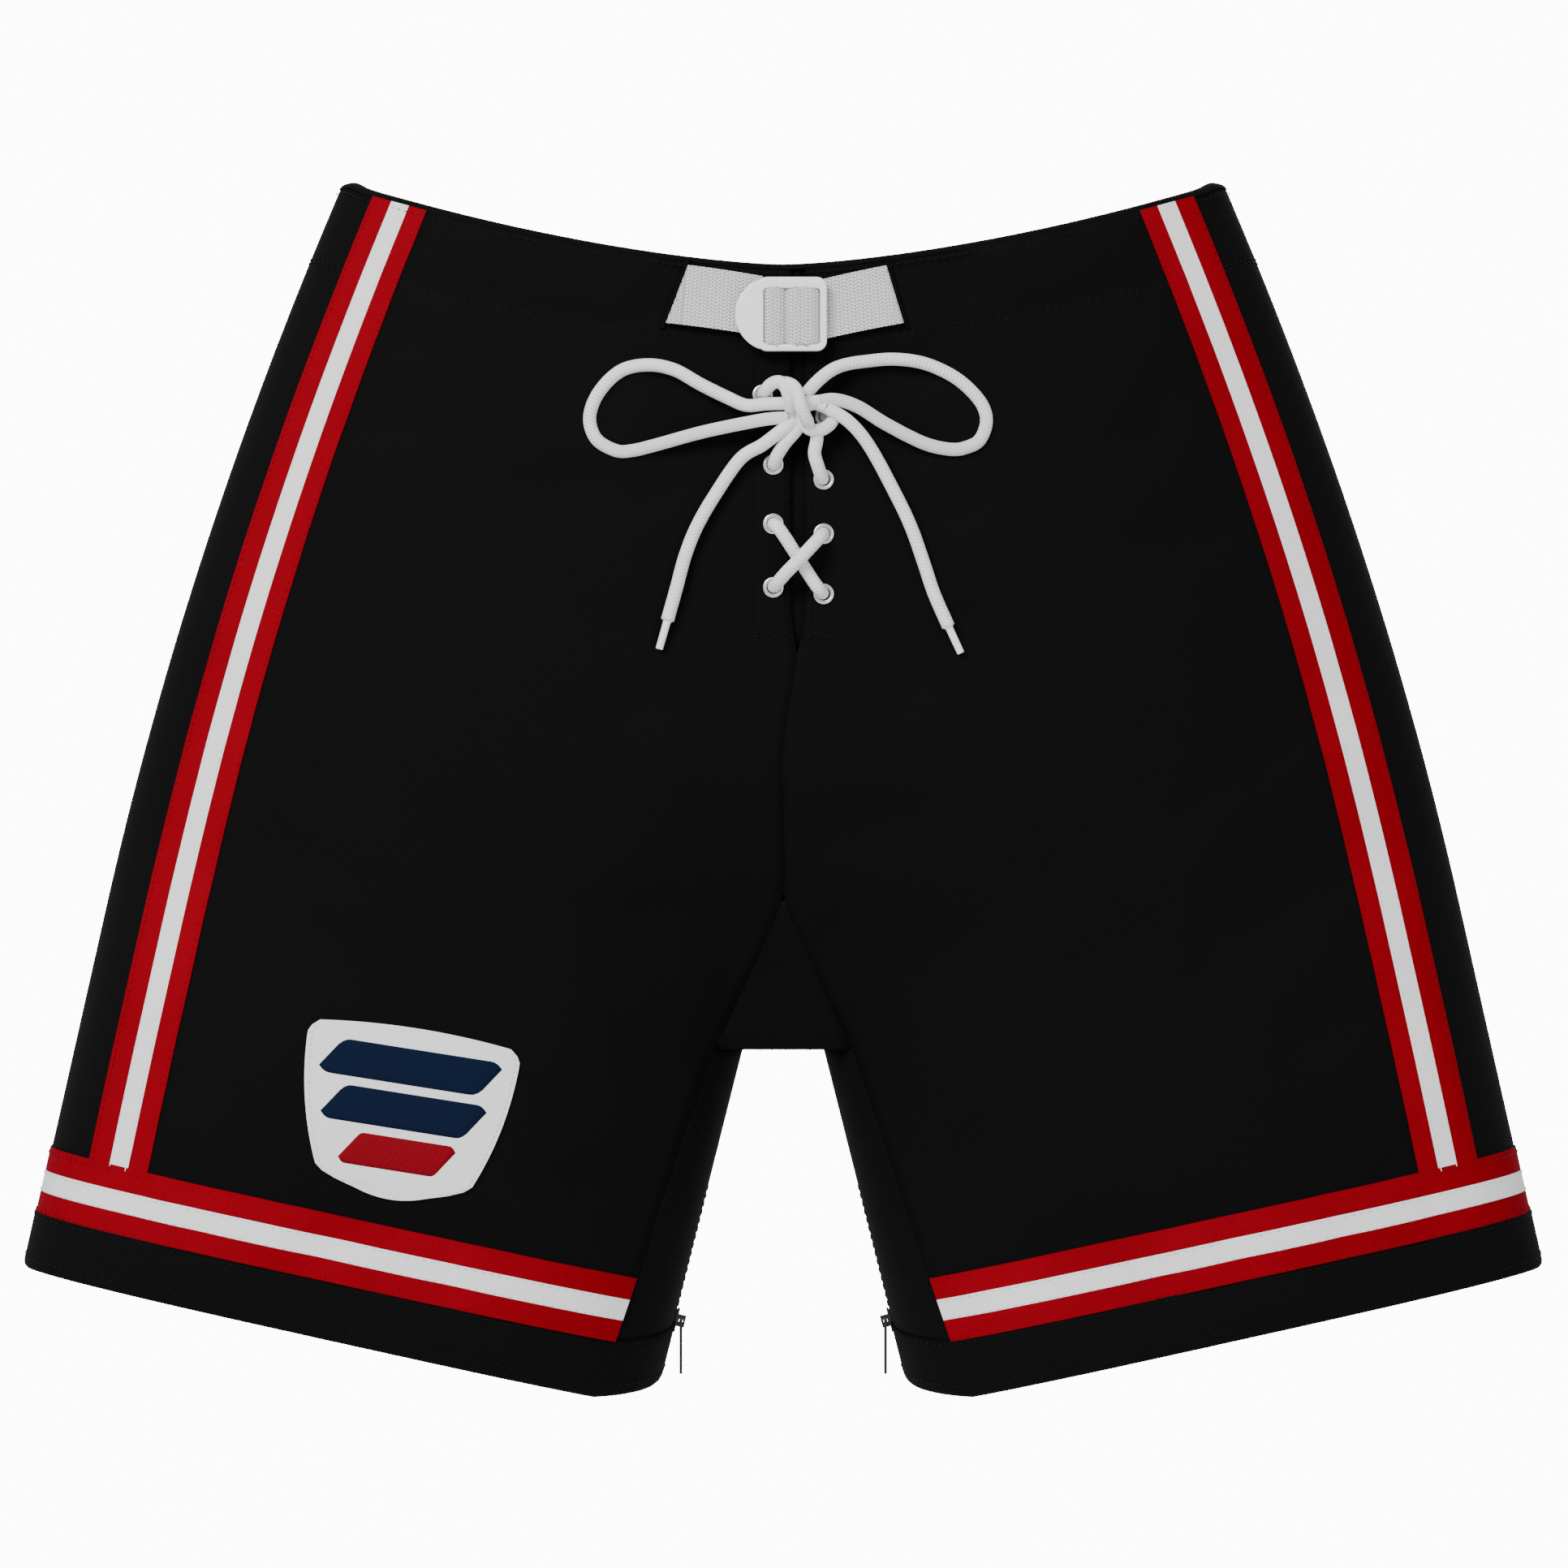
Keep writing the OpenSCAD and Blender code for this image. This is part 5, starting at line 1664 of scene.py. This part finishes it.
@dataclass
class Belt:
    """Webbing belt in its casing, with the buckle at the front."""

    form: ShellForm
    width: float = 0.029
    thick: float = 0.0016
    top: float = 0.003
    over: float = -0.0012
    under: float = 0.0034
    ends: tuple[float, float] = (-0.010, 0.012)
    level: float = 0.02

    def slot_x(self, side: Side, v: float) -> float:
        """Distance from the centre to the slot, which slants, at v down the webbing."""
        if side is Side.RIGHT:
            return mix(0.0468, 0.0552, v)
        return mix(0.0508, 0.0568, v)

    def sag(self, x: float) -> float:
        """How far the webbing hangs towards the buckle."""
        return 0.0055 * max(0.0, 1 - abs(x - 0.012) / 0.06) ** 2

    def at(self, g: float, v: float) -> Point:
        """Point on the webbing's outer face."""
        side = Side.RIGHT if g < 0 else Side.LEFT
        x = abs(self.form.whole_turn(g, self.level, 0.0)[0])
        t = self.form.rim(g) + self.top + v * self.width + self.sag(math.copysign(x, g))
        dive = ease((x - self.slot_x(side, v)) / 0.0025) if abs(g) < 1 else 1.0
        return self.form.whole_turn(g, t, mix(self.over - self.thick, self.under, dive))

    def build(self) -> None:
        """Makes the webbing, its loose end and the slots that it enters."""
        near = [self.form.turn_of(x, self.level) for x in np.arange(0.024, 0.062, 0.0008)]
        far = [mix(near[-1], 2, n / 70) for n in range(1, 71)]
        start = [self.form.turn_of(x, self.level)
                 for x in np.linspace(-self.ends[0], 0.022, 5)]
        right = [-g for g in (*start, *near, *far)]
        left = [*near, *far][::-1][1:] + [self.form.turn_of(self.ends[1], self.level)]
        turns = [*right, *left]
        places = np.array([[self.at(g, j / 8) for j in range(9)] for g in turns])
        bm = cloth_grid(places, flip=True, straight=True)
        bmesh.ops.recalc_face_normals(bm, faces=bm.faces)
        outward = sum(f.normal.y * f.calc_center_median().y for f in bm.faces)
        if outward < 0:
            bmesh.ops.reverse_faces(bm, faces=bm.faces)
        belt = to_object(bm, "belt_strap")
        thicken(belt, self.thick)
        round_edges(belt, 0.0004)
        WEBBING.dress(belt, "webbing_white")
        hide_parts("belt_webbing")
        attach(belt, "seat")
        self.tail()
        self.slots()

    def tail(self) -> None:
        """Makes the loose end, doubled back behind the belt."""
        def place(u: float, v: float) -> Point:
            """Point of the loose end's outer face."""
            x = mix(-0.037, -0.006, u)
            rim = self.form.rim(-self.form.turn_of(-x, self.level))
            t = rim + self.top + 0.0015 + self.sag(x) + v * (self.width - 0.003)
            return tuple(self.form.front(x, t, -0.0001))

        bm = cloth_grid(fill_places(12, 6, place))
        tail = to_object(bm, "belt_loose_end")
        thicken(tail, 0.0009)
        WEBBING.dress(tail, "webbing_white")
        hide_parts("belt_tail")
        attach(tail, "belt_tail")

    def slots(self) -> None:
        """Makes the bound edges of the two slots."""
        bm = bmesh.new()
        for side in Side:
            def place(u: float, v: float, side: Side = side) -> Point:
                """Point of one slot's domed binding."""
                reach = v * 1.2 - 0.1
                x = self.slot_x(side, reach) + mix(0.0004, 0.0034, u)
                g = side.value * self.form.turn_of(x, self.level)
                t = self.form.rim(g) + self.top + reach * self.width
                dome = 0.0014 * math.sin(math.pi * u) ** 0.5
                return self.form.whole_turn(g, t, 0.0008 - dome)

            join_into(bm, cloth_grid(fill_places(6, 16, place), flip=side is Side.RIGHT))
        binding = to_object(bm, "belt_slot_binding")
        NYLON_BLACK.dress(binding, "nylon_black")
        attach(binding, "seat")


@dataclass
class Buckle:
    """Moulded ladder buckle: rounded frame, thumb tab, two bars and the webbing on them."""

    left: float = -0.0128
    right: float = 0.0212
    tab_x: float = -0.0233
    corner: float = 0.005
    wall: float = 0.0033
    thick: float = 0.005
    bars: tuple[float, float] = (-0.0042, 0.0094)
    bar_r: float = 0.0016
    wrap_half: float = 0.0143

    def build(self) -> None:
        """Makes the buckle and the webbing wrapped in it."""
        low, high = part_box("buckle")
        self.y = (low.y + high.y) / 2
        self.z0, self.z1 = low.z, high.z
        self.middle = (self.z0 + self.z1) / 2
        self.frame()
        self.webbing()

    def frame(self) -> None:
        """Makes the frame with its window, the tab and the bars."""
        bm = bmesh.new()
        size = Matrix.Diagonal((self.right - self.left, self.thick, self.z1 - self.z0, 1))
        at = Matrix.Translation(((self.left + self.right) / 2, self.y, self.middle))
        bmesh.ops.create_cube(bm, size=1.0, matrix=at @ size)
        posts = [e for e in bm.edges if abs(e.verts[0].co.y - e.verts[1].co.y) > 0.001]
        bmesh.ops.bevel(bm, geom=posts, offset=self.corner, offset_type="OFFSET",
                        affect="EDGES", segments=8, profile=0.5, material=-1)
        plates = [f for f in bm.faces if abs(f.normal.y) > 0.9]
        for plate in plates:
            bmesh.ops.inset_region(bm, faces=[plate], thickness=self.wall)
        for plate in plates:
            for vert in plate.verts:
                if vert.co.z > self.middle:
                    vert.co.z -= 0.0022
        rims = [e for plate in plates for e in plate.edges]
        bmesh.ops.delete(bm, geom=plates, context="FACES_ONLY")
        bmesh.ops.bridge_loops(bm, edges=rims)
        self.soften(bm, 0.0009)
        join_into(bm, self.tab())
        for x in self.bars:
            bar = bmesh.new()
            bmesh.ops.create_cone(bar, segments=24, radius1=self.bar_r, radius2=self.bar_r,
                                  depth=self.z1 - self.z0 - 0.004, cap_ends=True,
                                  matrix=Matrix.Translation((x, self.y, self.middle)))
            join_into(bm, bar)
        bmesh.ops.recalc_face_normals(bm, faces=bm.faces)
        buckle = to_object(bm, "ladder_buckle")
        MOULDED.dress(buckle, "buckle_plastic")
        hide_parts("buckle")
        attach(buckle, "buckle")

    @staticmethod
    def soften(bm: bmesh.types.BMesh, radius: float) -> None:
        """Rounds the sharp edges of a moulding."""
        sharp = [e for e in bm.edges
                 if len(e.link_faces) == 2 and e.calc_face_angle() > math.radians(40)]
        bmesh.ops.bevel(bm, geom=sharp, offset=radius, offset_type="OFFSET", affect="EDGES",
                        segments=3, profile=0.5, material=-1, clamp_overlap=True)

    def tab(self) -> bmesh.types.BMesh:
        """Makes the D-shaped thumb tab, dished towards the frame.

        Returns:
            The tab's bmesh.
        """
        radius = (self.z1 - self.z0) / 2
        bm = bmesh.new()
        turn = Matrix.Rotation(math.pi / 2, 4, "X")
        at = Matrix.Translation((self.tab_x + radius, self.y - 0.0004, self.middle))
        bmesh.ops.create_cone(bm, segments=96, radius1=radius, radius2=radius, depth=0.0034,
                              cap_ends=True, matrix=at @ turn)
        cut = bmesh.ops.bisect_plane(bm, geom=[*bm.verts, *bm.edges, *bm.faces],
                                     plane_co=(self.left + 0.0016, 0, 0), plane_no=(1, 0, 0),
                                     clear_outer=True)["geom_cut"]
        bmesh.ops.holes_fill(bm, edges=[e for e in cut if isinstance(e, bmesh.types.BMEdge)],
                             sides=0)
        self.soften(bm, 0.0007)
        return bm

    def webbing(self) -> None:
        """Makes the webbing that runs over both bars, inside the window."""
        humps = ((-0.0044, 0.0054), (0.0092, 0.0084))
        middle = self.middle - 0.0012

        def place(u: float, v: float) -> Point:
            """Point of the webbing's face, in two humps with a groove between."""
            x = mix(-0.0104, 0.0182, u)
            rise = max(math.sqrt(max(0.0, 1 - ((x - c) / w) ** 2)) for c, w in humps)
            edge = 0.0006 * math.sin(x * 900) * (1 if v > 0.5 else -0.6)
            z = middle + mix(self.wrap_half, -self.wrap_half, v)
            z += edge if v in (0.0, 1.0) else 0.0
            return x, self.y + 0.0012 - 0.0040 * rise, z

        bm = cloth_grid(fill_places(56, 12, place))
        wrap = to_object(bm, "buckle_webbing_wrap")
        thicken(wrap, 0.0011)
        WEBBING.dress(wrap, "webbing_white")
        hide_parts("buckle_webbing")
        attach(wrap, "buckle")


# ---- Fly ---------------------------------------------------------------------------------


@dataclass
class Fly:
    """Tongue and facings behind the slit, and the metal that the lace runs through."""

    form: ShellForm
    tongue_half: float = 0.020

    def build(self) -> None:
        """Makes the fly's cloth and dresses its eyelets."""
        self.tongue()
        self.facings()
        for node in ("lace_eyelets", "eyelet_washers"):
            NICKEL.dress(bpy.data.objects[node], "eyelet_metal")

    def tongue(self) -> None:
        """Makes the soft tongue."""
        form = self.form

        def place(u: float, v: float) -> Point:
            """Point of the tongue."""
            x = form.fly_x + mix(-self.tongue_half, self.tongue_half, u)
            t = mix(0.006, form.fly_drop + 0.008, v)
            return tuple(form.front(x, t, 0.0046 - 0.0012 * math.sin(math.pi * u)))

        tongue = to_object(cloth_grid(fill_places(12, 40, place)), "fly_tongue_cloth")
        subdivide(tongue)
        thicken(tongue, SHELL_CLOTH)
        NYLON_BLACK.dress(tongue, "nylon_black")
        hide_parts("fly_tongue")
        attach(tongue, "seat")

    def facings(self) -> None:
        """Makes the facing strips sewn under the slit's edges, and their stitches."""
        form = self.form
        bm = bmesh.new()
        stitches = Stitching("fly_stitches", THREAD_BLACK, "nylon_black")
        for side in Side:
            def place(u: float, v: float, side: Side = side) -> Point:
                """Point of one facing."""
                x = form.fly_x + side.value * (form.slit_w / 2 + mix(0, 0.02, u))
                return tuple(form.front(x, mix(0.046, form.fly_drop - 0.001, v), 0.0030))

            join_into(bm, cloth_grid(fill_places(6, 24, place), flip=side is Side.RIGHT))
            for reach in (0.0018, 0.0185):
                x = form.fly_x + side.value * (form.slit_w / 2 + reach)
                line = [form.front(x, mix(0.044, form.fly_drop, n / 80), 0.0009)
                        for n in range(81)]
                stitches.row(line, 0.0003, Vector((0, -1, 0)))
        ends = [form.front(mix(form.fly_x - 0.022, form.fly_x + 0.022, n / 20),
                           form.fly_drop + 0.004, 0.0009) for n in range(21)]
        stitches.row(ends, 0.0003, Vector((0, -1, 0)))
        facings = to_object(bm, "fly_facing_cloth")
        thicken(facings, 0.0008)
        NYLON_BLACK.dress(facings, "nylon_black")
        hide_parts("fly_facings")
        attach(facings, "seat")
        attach(stitches.finish_piece(), "seat")


# ---- Patch and zips ----------------------------------------------------------------------


@dataclass
class Patch:
    """Plain twill shield on the front of the wearer's right leg, with satin-stitch bars."""

    width: float = 0.104
    height: float = 0.078
    centre_x: float = 0.184
    drop: float = 0.411
    tilt: float = math.radians(9)

    def __post_init__(self) -> None:
        """Takes the swelled cloth that the patch lies on."""
        cloth = bpy.data.objects["shell_cloth_right"].data
        points = [v.co for v in cloth.vertices]
        faces = [p.vertices for p in cloth.polygons]
        self.cloth = BVHTree.FromPolygons(points, faces)

    def on_leg(self, a: float, b: float, lift: float) -> Point:
        """Point on the leg from the patch's own axes: a across and b down from its middle."""
        x = -self.centre_x + a * math.cos(self.tilt) - b * math.sin(self.tilt)
        t = self.drop + a * math.sin(self.tilt) + b * math.cos(self.tilt)
        spot = self.cloth.ray_cast(Vector((x, -1, -t)), Vector((0, 1, 0)))[0]
        return x, spot.y - lift, -t

    def half_at(self, share: float) -> float:
        """Half width of the shield at a share of its height, with rounded corners."""
        narrow = 1 - 0.34 * share**2.2
        top = 1 - 0.10 * max(0.0, 1 - share / 0.09) ** 2
        bottom = 1 - 0.5 * max(0.0, (share - 0.88) / 0.12) ** 2
        return self.width / 2 * narrow * top * bottom

    def shield(self, inset: float, lift: float, thick: float, name: str,
               finish: Finish) -> bpy.types.Object:
        """Makes one layer of the shield.

        Args:
            inset: How far its edge lies inside the patch's.
            lift: Height of its face over the cloth.
            thick: Its thickness.
            name: Piece name.
            finish: Its finish.

        Returns:
            The layer.
        """
        def place(u: float, v: float) -> Point:
            """Point of the layer."""
            share = mix(inset / self.height, 1 - inset / self.height, v)
            half = self.half_at(share) - inset
            a = mix(-half, half, u)
            crown = 0.006 * (1 - (2 * u - 1) ** 2) * (v - 0.5)
            return self.on_leg(a, (share - 0.5) * self.height + crown, lift)

        layer = to_object(cloth_grid(fill_places(30, 26, place)), name)
        thicken(layer, thick)
        round_edges(layer, 0.0003)
        finish.dress(layer, "patch_twill")
        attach(layer, Side.RIGHT.leg)
        return layer

    def build(self) -> None:
        """Makes the patch's edge, its bars and its stitches."""
        edge = self.shield(0.0, 0.0012, 0.0014, "patch_edge", TWILL)
        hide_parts("leg_patch")
        bars = ((0.205, 0.385, 0.225, NAVY, "patch_bar_upper"),
                (0.485, 0.345, 0.225, NAVY, "patch_bar_middle"),
                (0.755, 0.235, 0.205, EMBROIDERY_RED, "patch_bar_lower"))
        for share, reach, tall, finish, name in bars:
            self.bar(share, reach * self.width, tall * self.height, finish, name)
        stitches = Stitching("patch_stitches", THREAD_WHITE, "patch_twill", pitch=0.003,
                             length=0.0022)
        line = []
        for way in (1, -1):
            for n in range(60):
                share = mix(0.04, 0.96, n / 59 if way > 0 else 1 - n / 59)
                spot = self.on_leg(way * (self.half_at(share) - 0.0022),
                                   (share - 0.5) * self.height, 0.0014)
                line.append(Vector(spot))
        stitches.row([*line, line[0]], 0.0, Vector((0, -1, 0)))
        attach(stitches.finish_piece(), Side.RIGHT.leg)

    def bar(self, share: float, reach: float, tall: float, finish: Finish, name: str) -> None:
        """Makes one padded satin-stitch bar with slanted ends.

        Args:
            share: Its place down the patch.
            reach: Half its length.
            tall: Its height.
            finish: Its finish.
            name: Piece name.
        """
        def place(u: float, v: float) -> Point:
            """Point of the bar's domed face."""
            a = mix(-reach, reach, u) + (0.5 - v) * tall * 0.45
            end = max(0.0, abs(2 * u - 1) - 0.86) / 0.14
            b = (share - 0.5) * self.height + (v - 0.5) * tall * (1 - 0.35 * end**2)
            dome = math.sin(math.pi * v) ** 0.4 * (1 - end**3)
            return self.on_leg(a, b, 0.0013 + 0.0008 * dome)

        piece = to_object(cloth_grid(fill_places(40, 12, place)), name)
        thicken(piece, 0.0005)
        finish.dress(piece, "patch_twill")
        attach(piece, Side.RIGHT.leg)


def dress_zips() -> None:
    """Gives the zips' teeth, sliders and pulls their metal."""
    for side in Side:
        for part in ("zip_chain", "zip_slider", "zip_pull"):
            node = bpy.data.objects[f"{part}_{side.label}"]
            ZIP_METAL.dress(node, "zip_metal")
            round_edges(node, 0.00015, 2)


def main() -> None:
    """Builds the pants around the frame."""
    logging.basicConfig(level=logging.INFO, format="%(name)s: %(message)s")
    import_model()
    Studio().build()
    Lace().build()
    form = ShellForm.from_frame()
    for side in Side:
        ShellHalf(form, side).build()
        InnerLeg(form, side).build()
        Binding(form).hem(side)
        log.info("%s side of the shell is sewn", side.label)
    Binding(form).rim()
    Gusset(form, "gusset_cloth", 0.0012, NYLON_BLACK, "nylon_black",
           nodes=("crotch_gusset",)).build()
    lining = Lining(form)
    lining.build()
    lining.casing()
    Pads().build()
    Belt(form).build()
    Buckle().build()
    Fly(form).build()
    Patch().build()
    dress_zips()


if __name__ == "__main__":
    main()
